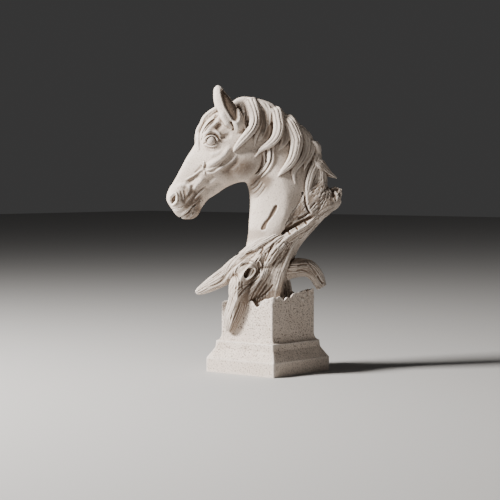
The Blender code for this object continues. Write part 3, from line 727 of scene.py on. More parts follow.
    # Veins, folds and creases, cut after the hair is on
    face_marks: tuple = (
        (((71.5, 222), (75, 221), (78, 219), (82.5, 215.5), (87, 213), (91.5, 210)), 1.5, 1.3),
        (((72.5, 227.5), (75, 224.5), (78.5, 220.5), (81.5, 217.5)), 2.4, -0.8),
        (((71, 232), (71, 228), (72, 225), (71, 222)), 1.6, 1.5),
        (((69, 228.5), (69.5, 225.5), (70, 223)), 1.8, -0.7),
        (((69.5, 221.5), (65, 222), (61.5, 223.5), (56.5, 226), (51, 231)), 1.7, 1.1),
        (((69, 218.5), (64, 218), (59.5, 219.5), (54, 223), (48.5, 226)), 1.6, 1.0),
        (((70.5, 220.5), (70.5, 216)), 1.3, 0.9),
        (((66, 206), (71.5, 202), (76.5, 198), (81, 193), (84, 189), (84.5, 185.5)), 2.0, -0.7),
        (((72, 196), (77, 191), (80.5, 187)), 1.6, -0.6),
        (((69, 202.5), (73, 198.5), (77.5, 194), (81.5, 190)), 1.5, 0.9),
        (((83.5, 207.5), (84, 203), (84.5, 198.5), (87, 194), (91.5, 189), (94, 184)), 3.0, -0.8),
        (((96, 200.5), (95.5, 195.5), (95, 191), (96, 187)), 2.4, -0.9),
        (((99.5, 196), (99, 191.5), (99.5, 187)), 1.7, -0.5),
        (((92.5, 200), (91.5, 195), (92, 190)), 2.2, -0.6),
        (((104, 196), (101.5, 196.5), (100, 192.5), (100.5, 187.5), (103.5, 184), (106, 183.5)),
         1.5, 1.6),
        (((108.5, 191), (106, 194.5), (103, 197)), 1.3, 0.8),
        (((106, 182), (102, 180.5), (96, 181), (92.5, 183)), 1.4, -0.7),
        (((105, 180), (103.5, 179), (97, 178.5)), 1.2, -0.7),
        (((106, 180), (104, 176), (102.5, 172)), 1.4, -0.9),
        (((77, 186.5), (82.4, 181.8), (86.5, 176.6), (90, 173.5), (96, 169.5), (99, 168)), 1.5, -1.7),
        (((81, 183.5), (84.5, 179.5), (88, 175.5)), 1.3, -0.8),
        (((75, 190), (73.5, 187.5), (75.5, 185)), 1.3, 0.9),
        (((82, 176.5), (83.5, 172.5)), 1.2, -0.6),
        (((39, 276), (35.5, 270), (34.5, 265), (36, 260)), 3.2, 0.8),
        (((43, 275), (41, 271), (39.8, 267), (40, 263)), 2.0, -1.8),
        (((13, 212), (17, 207), (21, 204.5)), 1.4, -0.8),
        (((9, 211), (14, 204), (20.5, 199.5)), 1.4, -0.8),
        (((6, 209), (11.5, 200.5), (19, 194)), 1.5, -0.8),
        (((3, 205), (9, 196), (15, 190)), 1.5, -0.6),
        (((22, 213), (28, 209.5), (36, 208.5)), 1.4, -0.7),
    )
    # Arcs round the eye: radii, first and last angle from straight forward, half width, height
    lids: tuple = (
        ((5.2, 4.9), -35, 215, 1.1, -1.0), ((5.3, 4.8), 205, 335, 0.9, -0.4),
        ((6.4, 5.2), -12, 192, 1.9, 2.0), ((7.1, 5.6), 195, 348, 1.4, 0.8),
        ((9.0, 7.9), 5, 178, 1.6, -1.3), ((12.0, 10.6), 30, 165, 2.6, 1.1),
        ((9.2, 7.6), 215, 330, 1.6, -0.5),
    )
    eye_corner: tuple = (((68.5, 251.5), (72, 250)), 1.4, -1.0)
    # Lines between the hairs at the root of the ear's hollow
    ear_tufts: tuple = (
        (((40, 286), (36, 283), (31, 280)), 1.0, -0.6),
        (((40.5, 283), (36.5, 279.5), (32.5, 276)), 1.0, -0.6),
        (((41, 280), (38, 276.5), (35, 273)), 1.0, -0.6),
    )

    # The hole torn through the skin of the neck, on the near side only, and how deep it goes
    tear: tuple = ((-35.5, 199), (-38, 197), (-39.5, 194.5), (-40.5, 186), (-46, 176.5), (-54, 171),
                   (-44, 160), (-25.5, 152), (-15, 150.5), (-12.5, 153.5), (-16.5, 158), (-17, 163),
                   (-20, 168), (-22.5, 174), (-26.5, 179), (-31, 182), (-34, 187), (-35, 193))
    tear_floor: float = 12.0
    # The parting of the lips across the muzzle: place (f, z), half its length, half width, depth
    lips: tuple = ((98.0, 167.6), 9.0, 2.0, 2.2)

    def section(self, top: np.ndarray, low: np.ndarray, widths: np.ndarray, power: float,
                points: int = 40) -> np.ndarray:
        """A section of the head or neck: a rounded lozenge that changes width down its depth.

        Args:
            top: its highest place (f, z).
            low: its lowest place (f, z).
            widths: half widths at the top, middle and bottom.
            power: squareness, 1 for an ellipse and less for a squarer form.
            points: points round the section.

        Returns:
            The points in order.
        """
        turn = np.arange(points) / points * 2 * math.pi
        down = (1 - np.cos(turn)) / 2
        width = np.interp(down, (0, 0.5, 1), widths)
        across = np.sign(np.sin(turn)) * np.abs(np.sin(turn)) ** power * width
        middle = top + down[:, None] * (low - top)
        return np.column_stack([middle[:, 0], across, middle[:, 1]])

    def body(self, stations: tuple, name: str, rings: int = 44) -> bpy.types.Object:
        """The head or the neck, lofted smoothly through its stations."""
        rows = smooth_path([[*top, *low, *rest] for top, low, *rest in stations], rings)
        return loft([self.section(r[0:2], r[2:4], r[4:7], r[7]) for r in rows], name)

    def ear(self, side: Side) -> bpy.types.Object:
        """One ear, a leaf that thins towards its tip.

        Args:
            side: the side it is on.

        Returns:
            The ear as a closed form.
        """
        base, tip = np.array(self.ear_base), np.array(self.ear_tip)
        length = tip - base
        along = length / np.linalg.norm(length)
        wide = np.cross((0.0, 1.0, 0.0), along)
        wide /= np.linalg.norm(wide)
        thick = np.cross(along, wide)
        turn = np.arange(32) / 32 * 2 * math.pi
        sections = []
        for share, half, depth in smooth_path(self.ear_rows, 30):
            middle = base + length * share + wide * (self.ear_bow * math.sin(share * math.pi))
            ring = (middle + (np.cos(turn) * half)[:, None] * wide
                    + (np.sin(turn) * depth)[:, None] * thick)
            sections.append(ring * (1, side.value, 1))
        return loft(sections, "ear")

    def soft(self) -> bpy.types.Object:
        """Head and neck without carving, smoothed into one form.

        Returns:
            The soft form.
        """
        forms = [self.body(self.head, "head"), self.body(self.neck, "neck"), ellipsoid(*self.chin)]
        for side in Side:
            forms += [ellipsoid(*mass, side=side) for mass in self.masses]
        form = fuse(forms, self.soft_voxel, "soft horse")
        Clay(form).relax(40)
        return form

    def eyeball(self, surface: Surface, side: Side) -> bpy.types.Object:
        """One eye, a ball that stands a little proud of the orbit.

        Args:
            surface: the head.
            side: the side it is on.

        Returns:
            The ball.
        """
        places, outs = surface.lay((self.eye_centre, self.eye_centre), side, 2)
        centre = places[0] - outs[0] * (self.eye_radius - self.eye_rise)
        return ellipsoid(tuple(centre), (self.eye_radius,) * 3)

    def torn(self, horse: bpy.types.Object) -> None:
        """Cuts the torn hole into the skin of the neck.

        Args:
            horse: head and neck in one skin.
        """
        ring = smooth_path([*self.tear, self.tear[0]], 90)[:-1]
        ring += 0.5 * np.sin(np.arange(len(ring))[:, None] * (1.9, 2.6))
        bm = bmesh.new()
        bmesh.ops.create_circle(bm, cap_ends=True, segments=len(ring), radius=1)
        for vert, (f, z) in zip(bm.verts, ring):
            vert.co = (f, self.tear_floor, z)
        grown = bmesh.ops.extrude_face_region(bm, geom=bm.faces[:])["geom"]
        bmesh.ops.translate(bm, vec=(0, 60, 0),
                            verts=[g for g in grown if isinstance(g, bmesh.types.BMVert)])
        cutter = object_from(bm, "tear")
        cut = horse.modifiers.new("tear", "BOOLEAN")
        cut.operation = "DIFFERENCE"
        cut.solver = "MANIFOLD"
        cut.object = cutter
        apply_modifiers(horse)
        bpy.data.objects.remove(cutter)

    def shaped(self, soft: bpy.types.Object) -> list[bpy.types.Object]:
        """The head with its ears, its softly modelled bones and its eyes, ready to fuse.

        Args:
            soft: head and neck without carving, which is used up.

        Returns:
            The head and both eyes.
        """
        horse = fuse([soft, self.ear(Side.NEAR), self.ear(Side.FAR)], self.skin_voxel, "horse")
        clay = Clay(horse)
        clay.relax(10)
        surface = Surface(horse)
        for side in Side:
            clay.carve(surface, self.forms, side, ends=0.3)
        clay.relax(8)
        self.torn(horse)
        surface = Surface(horse)
        return [horse, *(self.eyeball(surface, side) for side in Side)]

    def detail(self, clay: Clay, surface: Surface) -> None:
        """Veins, folds, lids, nostrils, mouth and the hollows of the ears, on both sides, with painted
        shade on the cheek, muzzle, chin, throat, round the eye and between the locks.

        Args:
            clay: the skin of the figure.
            surface: the same skin before any detail, on which the strokes are laid.
        """
        for side in Side:
            for outline, depth, edge, *rest in self.sunk:
                clay.sink(outline, depth, edge, side, *rest)
        for outline, depth, edge, *rest in self.near_sunk:
            clay.sink(outline, depth, edge, Side.NEAR, *rest)
        clay.settle()
        clay.relax(1)
        for side in Side:
            for radii, first, last, half_width, height in self.lids:
                arc = ring_points(self.eye_centre, radii, first, last)
                clay.stroke(surface.lay(arc, side, 40)[0], half_width, height)
            clay.carve(surface, (self.eye_corner, *self.face_marks, *self.ear_tufts), side)
        (f, z), reach, half_width, depth = self.lips
        line = np.column_stack([np.full(9, f), np.linspace(-reach, reach, 9), np.full(9, z)])
        clay.stroke(line, half_width, -depth, ends=0.1)
        clay.settle()


@dataclass
class Mane:
    """Locks of hair on both sides of the neck and down the forehead."""

    sway: float = 1.3
    rise: float = 1.15
    parting: float = 0.24
    rings: int = 64
    across: int = 37
    root_dip: float = 2.2
    root_share: float = 0.14
    lean: float = 0.22
    comb_width: float = 0.8
    comb_depth: float = 0.3
    under_locks: int = 3

    # Ridge of hair along the top of the neck, (f, z), and its radii
    crest: tuple = ((40, 287), (34.5, 293), (27, 295.8), (14, 294.5), (-1, 290), (-11, 282.5),
                    (-24, 274.5), (-37, 262.5), (-44, 252), (-48, 242), (-50.5, 231))
    crest_radii: tuple = (3, 5.4, 5.9, 5.6, 5.6, 5.4, 5.4, 5.4, 5.2, 5, 4)

    # Crest to tip: points (f, z), half widths at the root, middle and tip, height, strands, and
    # lift over the neck along the lock
    locks: tuple = (
        (((31, 297), (24.5, 288), (21.5, 278), (22, 268)), (4.5, 3.6, 1.4), 2.0, 1, (0, 0.2, 0)),
        (((0, 254.5), (1, 243.5), (1, 232.5), (5.5, 223), (13, 215)), (1.8, 2.0, 0.7), 1.8, 1, (0, 0)),
        (((-4.5, 254.5), (-3.5, 242.5), (-3.5, 231.5), (1, 221.5), (9, 213)), (1.8, 2.0, 0.7), 1.6, 1,
         (0, 0)),
        (((20, 297), (10, 286), (6, 274), (8, 262), (12, 253)), (7, 6, 2), 2.2, 3, (0, 0.3, 0)),
        (((-6, 289), (-15, 277), (-19, 265), (-17, 253), (-10, 243)), (8, 6.5, 1.5), 2.4, 3,
         (0, 0.6, 0.2)),
        (((-18, 281), (-29, 268), (-35, 256), (-35, 246), (-32, 238)), (8, 6, 1.5), 2.4,
         3, (0, 0.6, 0.2)),
        (((-30, 272), (-41, 259), (-45, 247), (-44, 236), (-41, 227)), (8, 6, 1.8), 2.2,
         3, (0, 0.6, 0.2)),
        (((-43, 256), (-48, 243), (-51, 230), (-51, 218), (-48, 206)), (5, 4.5, 1.5), 1.6, 2,
         (0, 0.2, 0.2)),
        (((13, 294), (10, 283), (9.5, 273.5), (12, 265), (15, 257.5), (16, 248)), (4.0, 2.8, 1.0),
         2.6, 1, (0.2, 0.6, 1.0, 0.2)),
        (((10, 297), (2, 290), (-0.5, 283), (0, 275.5), (1, 268.5)), (6.0, 4.4, 0.9), 3.0, 2,
         (0.5, 1.2, 1.2, 0.3)),
        (((35, 298), (29.5, 292.5), (28, 283), (28.5, 273.5), (26, 264.5)), (3.0, 2.3, 1.0), 2.6, 1,
         (0.5, 1.0, 0.5)),
        (((25, 300.5), (19.5, 294.5), (16.5, 285), (16, 275.5), (19, 267), (24.5, 259.5), (31, 252.5),
          (36.5, 246), (39.5, 241)), (8.5, 6.2, 1.1), 4.8, 3, (0.5, 1.2, 2.4, 2.0, 0.4)),
        (((-1.5, 292), (-8, 285), (-10, 276), (-10.5, 268), (-8.5, 259.5), (-4.5, 253), (1.5, 248),
          (9, 243.5), (15.5, 236)), (8.5, 6.4, 1.0), 4.8, 3, (0.5, 1.4, 2.6, 2.2, 0.4)),
        (((-26, 275), (-35.5, 266.5), (-41, 257), (-41.5, 247.5), (-39, 238), (-33.5, 229.5),
          (-28, 223), (-26, 218), (-26.5, 212.5), (-28, 206.5)), (6.5, 4.4, 1.0), 3.6, 2,
         (0.3, 1.2, 1.6, 1.0, 0.4)),
        (((-13.5, 284), (-23, 273), (-28.5, 261), (-30, 253), (-28.5, 243.5), (-25.5, 234.5),
          (-20.5, 226.5), (-14, 220), (-9, 214.5)), (8.5, 7.6, 1.0), 4.8, 4, (0.5, 1.2, 2.4, 2.0, 0.4)),
        (((-36, 268), (-45, 257), (-47.5, 246.5), (-45, 238), (-40.5, 229.5), (-38.5, 222)),
         (6.0, 4.2, 1.0), 3.6, 2, (0.3, 1.2, 0.6)),
        (((-50, 244), (-53, 234), (-53, 225), (-50.5, 217.5), (-48, 210)), (4.0, 3.2, 1.2), 2.4,
         2, (0, 0.4, 0.3)),
        (((-46, 257.5), (-52, 247), (-53.5, 236.5), (-51, 227.5), (-46, 218), (-42.5, 208.5),
          (-41, 199), (-42.5, 188.5)), (7.5, 5.4, 1.7), 4.4, 3, (0.3, 1.2, 2.4, 2.0)),
        (((57, 279.5), (63, 275), (69, 268), (74, 258.5)), (1.8, 1.6, 0.9), 1.8, 1, (0, 0.2, 0)),
        (((46, 291), (55, 288.5), (63, 284), (69, 278.5), (72.5, 271.5), (75.5, 263.5), (77, 254),
          (76.5, 243)), (5.2, 4.4, 1.1), 2.8, 3, (0, 0.4, 0.2)),
    )
    # Dark gaps between the locks
    gaps: tuple = (
        (((24, 277), (23, 271), (25, 264)), 2.4, -0.9),
        (((7, 288), (5, 279), (4.5, 270.5), (7, 262)), 2.8, -1.0),
        (((-3, 287), (-4.5, 279), (-4, 269), (-2.5, 260), (1, 254)), 2.6, -0.7),
        (((8.5, 242), (7.5, 234.5), (8.5, 227.5), (12, 220), (17, 215.5)), 1.5, -0.9),
        (((3, 244.5), (3, 234.5), (4.5, 225.5), (10, 217.5)), 1.5, -0.9),
        (((58.5, 276), (63.5, 271), (69, 265), (72.5, 258.5), (74.5, 252)), 1.2, -1.6),
    )
    # Single strands that stand out between the locks
    strands: tuple = (
        (((6, 243), (5, 233), (6.5, 225), (12.5, 218), (17.5, 215)), 1.4, 1.2),
        (((0, 245.5), (-0.5, 236.5), (1.5, 227.5)), 1.2, 0.9),
    )

    def lock(self, surface: Surface, points: ArrayLike, widths: Triple, height: float, strands: int,
             lifts: tuple[float, ...], side: Side) -> bpy.types.Object:
        """A lock of hair on the neck: a flat tapering loft whose top is parted into strands.

        Args:
            surface: the neck.
            points: side-plane path from crest to tip.
            widths: half widths at the root, middle and tip.
            height: thickness of the lock.
            strands: how many strands it is parted into.
            lifts: how far it stands off the neck along its length.
            side: side of the neck.

        Returns:
            The lock as a closed form.
        """
        path, out = surface.lay(points, side, self.rings)
        share = np.linspace(0, 1, self.rings)
        path[:, 1] = evened(path[:, 1], 8)
        out = evened(out, 10)
        lift = np.interp(share, np.linspace(0, 1, len(lifts)), lifts)
        lift -= self.root_dip * np.clip(1 - share / self.root_share, 0, 1) ** 2
        path = path + out * lift[:, None]
        along = unit(np.gradient(path, axis=0))
        out -= (out * along).sum(1)[:, None] * along
        out = unit(out)
        beside = np.cross(along, out)
        root, middle, tip = widths
        half = np.interp(share, (0, 0.35, 0.75, 1), (root, middle, 0.55 * (middle + tip), tip))
        half = evened(half, 5) * np.clip((1.02 - share) / 0.12, 0.15, 1) ** 0.5
        half *= np.clip((share + 0.02) / 0.1, 0.2, 1) ** 0.5
        x = np.cos(np.linspace(math.pi, 0, self.across))
        lean = x + self.lean * (1 - x * x)
        dome = np.clip(1 - lean * lean, 0, 1) ** 0.4
        sections = []
        for i in range(self.rings):
            sway = 0.5 * math.sin(2.7 * share[i] + points[0][0])
            ripple = x + 0.1 * np.sin(4 * x + 3 * share[i])
            parting = (0.5 + 0.5 * np.cos(math.pi * (strands * (ripple + 1) + sway))) ** 4
            parting[np.abs(x) > 0.9] = 0
            rise = self.rise * height * (half[i] / max(widths)) ** 0.7 * dome
            rise = rise * min(1.0, 0.15 + share[i] / 0.15)
            upper = path[i] + beside[i] * (x * half[i])[:, None]
            under = upper - out[i] * (0.9 * rise)[:, None]
            upper = upper + out[i] * (rise * (1 - self.parting * parting))[:, None]
            sections.append(np.vstack([upper, under[::-1][1:-1]]))
        return loft(sections, "lock")

    def strayed(self, points: ArrayLike, n: int, side: Side) -> list[Pair]:
        """The path itself on the near side; on the far side it strays a little.

        Args:
            points: side-plane points of a lock.
            n: number of the lock.
            side: the side it lies on.

        Returns:
            The points for that side.
        """
        if side is Side.NEAR:
            return list(points)
        return [(f + self.sway * math.sin(2.1 * n + i), z + self.sway * math.cos(1.7 * n + i))
                for i, (f, z) in enumerate(points)]

    def hair(self, surface: Surface) -> list[bpy.types.Object]:
        """The crest and all locks on both sides.

        Args:
            surface: the neck and head.

        Returns:
            The crest, then one form for each lock.
        """
        made = [tube(self.crest, self.crest_radii, "crest")]
        for side in Side:
            for n, (points, *rest) in enumerate(self.locks):
                made.append(self.lock(surface, self.strayed(points, n, side), *rest, side))
        return made

    def comb(self, clay: Clay, surface: Surface) -> None:
        """Cuts the gaps between locks and draws a few fine lines along each lock.

        Args:
            clay: the skin of the figure.
            surface: the same skin before any detail.
        """
        for side in Side:
            for n, (points, half_width, height) in enumerate(self.gaps + self.strands):
                path = surface.lay(self.strayed(points, n, side), side, 30)[0]
                clay.stroke(path, half_width, height)
            for n, (points, widths, _, strands, _) in enumerate(self.locks[self.under_locks:]):
                middle = smooth_path(self.strayed(points, n + self.under_locks, side), 36)
                beside = unit(np.gradient(middle, axis=0))[:, ::-1] * (1, -1)
                share = np.linspace(0, 1, len(middle))
                room = np.interp(share, (0, 0.35, 0.8, 1), (*widths[:2], widths[2], 0.3))
                for k in range(strands):
                    place = (k + 0.5) / strands * 2 - 1
                    wave = 0.1 * np.sin(5 * share + 2.3 * k + n)
                    line = middle + beside * (room * (0.75 * place + wave))[:, None]
                    first, last = 2 + (k * 5 + n) % 9, len(line) - 3 - (k * 3 + n) % 10
                    path = surface.lay(line[first:last], side, 40)[0]
                    clay.stroke(path, self.comb_width, -self.comb_depth, ends=0.35)
        clay.settle()


@dataclass
class Driftwood:
    """The weathered root: trunk, limbs, knot and the snout that lies over the plinth."""

    voxel: float = 0.46
    snout_out: float = 2.5
    snout_top: tuple = ((6, 12, 128), (22, 16, 111))
    snout: tuple = ((31.5, 96), (32.8, 80), (37, 65), (41, 54), (43.4, 45.5))
    snout_radii: tuple = (14, 14.5, 12.8, 12.2, 11.4, 9.6, 5.8)
    root_mass: tuple = ((8, 0, 92), (26, 25, 24), 0)
    knot: tuple = ((25, 19, 109.5), (14, 9, 17), 24)

    # Points (f, y, z), radii, squash across the side plane, flutes and their depth, how round the
    # section is (2 round, 1 four flat planes) and the turn of its arris in degrees
    limbs: dict = field(default_factory=lambda: {
        "trunk": (
            ((6, 2, 66), (6, 2, 88), (3, 1, 104), (-3, 0, 120), (-11, 0, 135), (-22, 0, 151),
             (-43, 0, 171), (-59.5, 0, 185.5), (-72, 0, 196.5)),
            (26, 25, 25, 24.5, 22.5, 20, 16.5, 14, 11.5), 1.12, 6, 0.04, 1.3, -25),
        "plank": (((-14, 1, 140), (-26, 5, 158), (-40, 7, 176), (-50, 7, 194), (-55, 5, 211),
                   (-57, 5, 225)), (12, 17, 16, 13, 9.5, 6),
                  0.9, 5, 0.02, 3.2, 0),
        "slab": (((-38, 6, 170), (-52, 6, 181), (-63, 5, 189), (-71, 5, 194)), (14, 14.5, 13.5, 9.5),
                 0.95, 5, 0.02, 4.0, 0),
        "spike": (((-48, 3, 233), (-55, 5, 227), (-65, 5, 219), (-75.5, 5, 212.5)),
                  (3, 7.5, 4.6, 1.0), 1.0, 4, 0.06, 1.5, 0),
        "left branch": (
            ((0, 12, 137), (14.5, 13, 128.5), (31, 13, 118.5), (47.5, 12, 106), (64, 10, 96),
             (76, 9, 89.5), (80, 9, 88)),
            (10.5, 10.4, 10.8, 9.8, 7.6, 4.8, 2.4), 0.75, 3, 0.05, 1.6, 20),
        "arch": (
            ((-6, 2, 108), (-17, 2, 112), (-27, 3, 113.5), (-36.5, 4, 114.5), (-45, 4, 113.5),
             (-51.5, 4, 108), (-56.5, 4, 100), (-61, 4, 93)),
            (14, 13, 11.2, 10.2, 9.8, 8.8, 7.4, 4.4), 0.9, 3, 0.05, 1.5, 35),
        "arch spur": (((-44, 1, 116), (-50, 0, 106), (-54.5, 0, 96), (-56, 0, 90)),
                      (6, 5.2, 4.2, 3), 1.0, 4, 0.08, 1.5, 0),
        "plank tip": (((-58, 5, 180), (-67, 5, 187), (-74, 5, 195), (-78, 4, 201.5)),
                      (5, 10.4, 8.2, 4.6), 1.0, 4, 0.04, 3.0, 20),
        "lip": (
            ((-2, 16, 120), (-9, 19, 137), (-17.5, 21, 147), (-27.5, 21.5, 154.5),
             (-38.5, 20.5, 160.5), (-47.5, 18.5, 168), (-52, 16, 173)),
            (5.5, 5.5, 5, 4.6, 4.2, 3.2, 1.6), 1.0, 3, 0.06, 1.4, 0),
        "rail": (((30, 11, 127), (17, 15.5, 136), (6, 18, 143), (-5, 19.5, 149), (-15, 19, 153)),
                 (5.5, 6.6, 6.4, 5.4, 2.6), 0.9, 3, 0.05, 1.7, 0),
        "second rail": (((21, 13, 121), (9, 17, 131), (-2, 19.5, 140), (-11, 20.5, 147),
                         (-18, 20, 151)), (6.5, 7, 6.4, 4.6, 2.4), 0.9, 3, 0.05, 1.7, 0),
        "third rail": (((8, 16, 112), (0, 19, 124), (-8, 21, 135), (-15, 21.5, 143)),
                       (8, 8.4, 7.4, 4.6), 0.9, 3, 0.05, 1.7, 0),
        "root strand": (((-1, 13, 119), (8, 18, 107), (17, 20, 95.5), (24.5, 20, 84), (28, 16, 70)),
                        (8, 9.8, 9.8, 8.6, 6.5), 1.0, 3, 0.05, 1.6, 0),
        "far root": (((-4, -12, 128), (8, -20, 110), (20, -24, 95), (27, -22, 82), (30, -20, 70)),
                     (12, 10.5, 9, 7.5, 5), 1.0, 5, 0.07, 1.6, 0),
        "back root": (((-4, -8, 116), (-14, -20, 104), (-20, -26, 92), (-22, -27, 78)),
                      (12, 10, 8.5, 7), 1.0, 5, 0.07, 1.6, 0),
    })
    # Outlines that are sunk: corners, depth, slope, brown left inside and any raggedness
    near_sunk: tuple = (
        (((20, 136), (16, 134.5), (16.5, 131), (27.5, 123), (38.5, 114.5), (44.5, 107.5),
          (50.5, 99), (66, 93), (70, 94.5), (59, 99.5), (51.5, 107.5), (42.5, 117.5), (33, 126.5)),
         1.6, 3.4, 0.95),
        # Painted shade on the side of the snout turned from the light
        (((31, 103), (37.5, 82), (40, 74), (44.5, 61), (49, 56), (50, 45), (43, 38), (34, 46), (28, 57),
          (22, 67), (12, 72), (-8, 78), (-12, 92), (0, 100), (12, 112), (24, 108)), 0, 7, 0.86, 0.6),
        # Painted shade over the arch, which lies in shade
        (((-28, 108), (-30, 124), (-46, 124), (-58, 112), (-68, 92), (-56, 86), (-48, 102)), 0, 4,
         0.75, 0.6),
        (((19.2, 115.8), (21, 109.5), (25.5, 104.2), (29, 106.5), (28.6, 111.5), (24, 115.8)), 5.0,
         1.8, 0.95, 0.2),
        (((-34, 196), (-40, 186), (-52, 172), (-40, 163), (-22, 152), (-12, 154), (-20, 170),
          (-28, 184)), 0, 2, 0.85, 1.5),
    )
    near_marks: tuple = (
        (((-49.5, 172), (-39, 167.5), (-29.5, 162.5), (-20, 157), (-9, 150)), 2.4, -2.7),
        (((-38.5, 197), (-39, 187.5), (-41, 179.5), (-45.5, 172.5)), 1.8, -2.2),
        (((-44, 176), (-37, 171), (-30, 168)), 2.2, -1.8),
        (((-26, 165), (-19, 159), (-13, 153)), 2.6, -1.8),
        (((-31, 156), (-28.5, 160), (-27, 164)), 1.3, -1.6),
        (((-41, 162), (-39, 165), (-37, 169)), 1.5, -1.8),
        (((-22.5, 151), (-20.5, 154), (-19, 158)), 1.2, -1.4),
        (((-5.5, 144.5), (0, 134.5), (4, 126), (6, 120.5)), 1.3, -1.2),
        (((-8.5, 137.5), (-2.5, 129), (2.5, 121)), 1.3, -0.9),
        (((-15, 134.5), (-8.5, 126), (-2, 117)), 1.3, -1.0),
        (((-22.5, 138.5), (-15.5, 127.5), (-9, 118.5)), 1.3, -0.9),
        (((55.5, 109.5), (63, 103.5)), 1.3, -0.5),
        (((18.5, 116), (16.5, 113), (19, 108), (23, 104.5), (27.5, 102)), 1.8, 2.0),
        (((34.5, 118), (29, 121), (22, 122), (16.5, 120)), 2.2, 1.8),
        (((35, 118), (37.5, 113), (37, 107.5), (34.5, 103.5)), 1.8, 1.4),
        (((13.5, 125), (10.5, 120), (9.5, 114.5), (11.5, 109)), 2.0, 1.6),
        (((8.5, 110.5), (14, 104.5), (20.5, 99), (27.5, 93.5), (32.5, 88), (36, 82)), 1.4, -1.1),
        (((30.5, 102), (31, 97.5), (30.5, 91.5)), 1.3, -0.9),
        (((37, 111.5), (37.5, 104.5), (38, 97), (39, 88.5), (40, 83.5)), 1.4, -1.0),
        (((35, 102), (35.5, 97), (35.8, 91.5)), 1.3, 1.0),
        (((16.5, 121), (13, 125.5), (9.5, 132), (7, 139)), 1.4, -1.4),
        (((6.5, 105.5), (12, 98), (16.5, 90), (20, 82), (21.5, 75)), 1.8, -1.6),
        (((2, 100), (7.5, 91.5), (12.5, 84), (14.5, 78.5)), 1.6, -1.4),
        (((-4, 98.5), (3.5, 89.5), (11.5, 83)), 1.5, -1.2),
        (((36.5, 84), (38.5, 76), (41, 67), (44.5, 58)), 1.8, 1.5),
        (((32.5, 82), (34.5, 73), (38, 64), (41, 56)), 1.4, -1.2),
        (((40.5, 86), (42.5, 78.5), (44.5, 71), (47, 63)), 1.3, -0.9),
        (((27.5, 79), (29, 69.5), (33, 58.5), (37.5, 50)), 1.3, -1.0),
        (((-30, 116.5), (-36, 118), (-43, 117.5)), 1.4, -0.9),
        (((-29, 111), (-36, 112), (-44, 109)), 1.4, -0.9),
        (((-53, 106.5), (-56.5, 100.5), (-60.5, 96)), 1.8, -1.9),
        (((-41, 123), (-47.5, 114), (-53.5, 105.5)), 1.3, -0.7),
    )
    far_marks: tuple = (
        (((18, 140), (4, 148), (-12, 152), (-28, 163), (-46, 178)), 3.6, -2.0),
        (((2, 116), (-8, 130), (-20, 144), (-36, 160)), 2.4, -1.2),
        (((-16, 124), (-28, 140), (-44, 156), (-60, 174)), 2.2, -1.1),
        (((-38, 168), (-50, 182), (-58, 198)), 2.0, -1.0),
        (((8, 124), (20, 106), (26, 90)), 1.8, -1.1),
        (((0, 126), (10, 108), (18, 92)), 1.6, -0.9),
        (((34, 116), (48, 104), (62, 94)), 2.0, -0.9),
        (((-31, 115), (-38, 114.5), (-45, 111.5)), 1.4, -0.9),
        (((10, 132), (24, 122), (40, 110), (56, 99)), 1.4, -0.8),
        (((-9, 124), (-18, 138), (-34, 152)), 1.3, -0.8),
    )
    # Width, length, depth and sharpness of the split fibres, coarse to fine
    fibres: tuple = ((6.0, 46.0, 0.5, 1), (2.4, 40.0, 0.75, 5), (1.25, 22.0, 0.4, 4))
    knot_eye: Pair = (24.0, 110.0)
    knot_reach: float = 11.0
    knot_spread: float = 20.0
    grain_run: Pair = (0.6, -0.8)
    rubble_count: int = 46
    crumble: float = 0.09
    splinter: float = 2.2
    # The torn plank: where its face starts (f, z), how far back, its top and the slant of its
    # dashes in degrees; its broken end: how far back, and from which height to which
    plank_foot: Pair = (-45.0, 168.0)
    plank_behind: float = 34.0
    plank_top: float = 213.0
    dash_slant: float = 132.0
    broken_behind: float = 67.0
    broken_from: float = 186.0
    broken_to: float = 209.0

    def rows(self) -> list[tuple]:
        """The rows of all limbs, the snout's worked out from the plinth's face.

        Returns:
            The rows, which limb() takes as they are.
        """
        face = SHAFT_WIDTH / 2 * math.sqrt(2)
        snout = [*self.snout_top] + [(f, face - f + self.snout_out, z) for f, z in self.snout]
        return [*self.limbs.values(), (snout, self.snout_radii, 0.95, 3, 0.03, 1.15, -14)]

    def spine(self, points: tuple, radii: tuple, rings: int) -> tuple[np.ndarray, ...]:
        """The middle line of a limb: places, radii, directions across and along, and lengths.

        Args:
            points: places along the limb.
            radii: radius at each place.
            rings: how many sections there are.

        Returns:
            For each section its middle, radius, way along, way level across, way out to the side
            and distance from the start.
        """
        path = smooth_path(points, rings)
        radius = smooth_path(radii, rings)[:, 0]
        along = unit(np.gradient(path, axis=0))
        length = np.concatenate([[0], np.cumsum(np.linalg.norm(np.diff(path, axis=0), axis=1))])
        level = unit(np.cross(along, (0.0, 1.0, 0.0)))
        return path, radius, along, level, np.cross(level, along), length

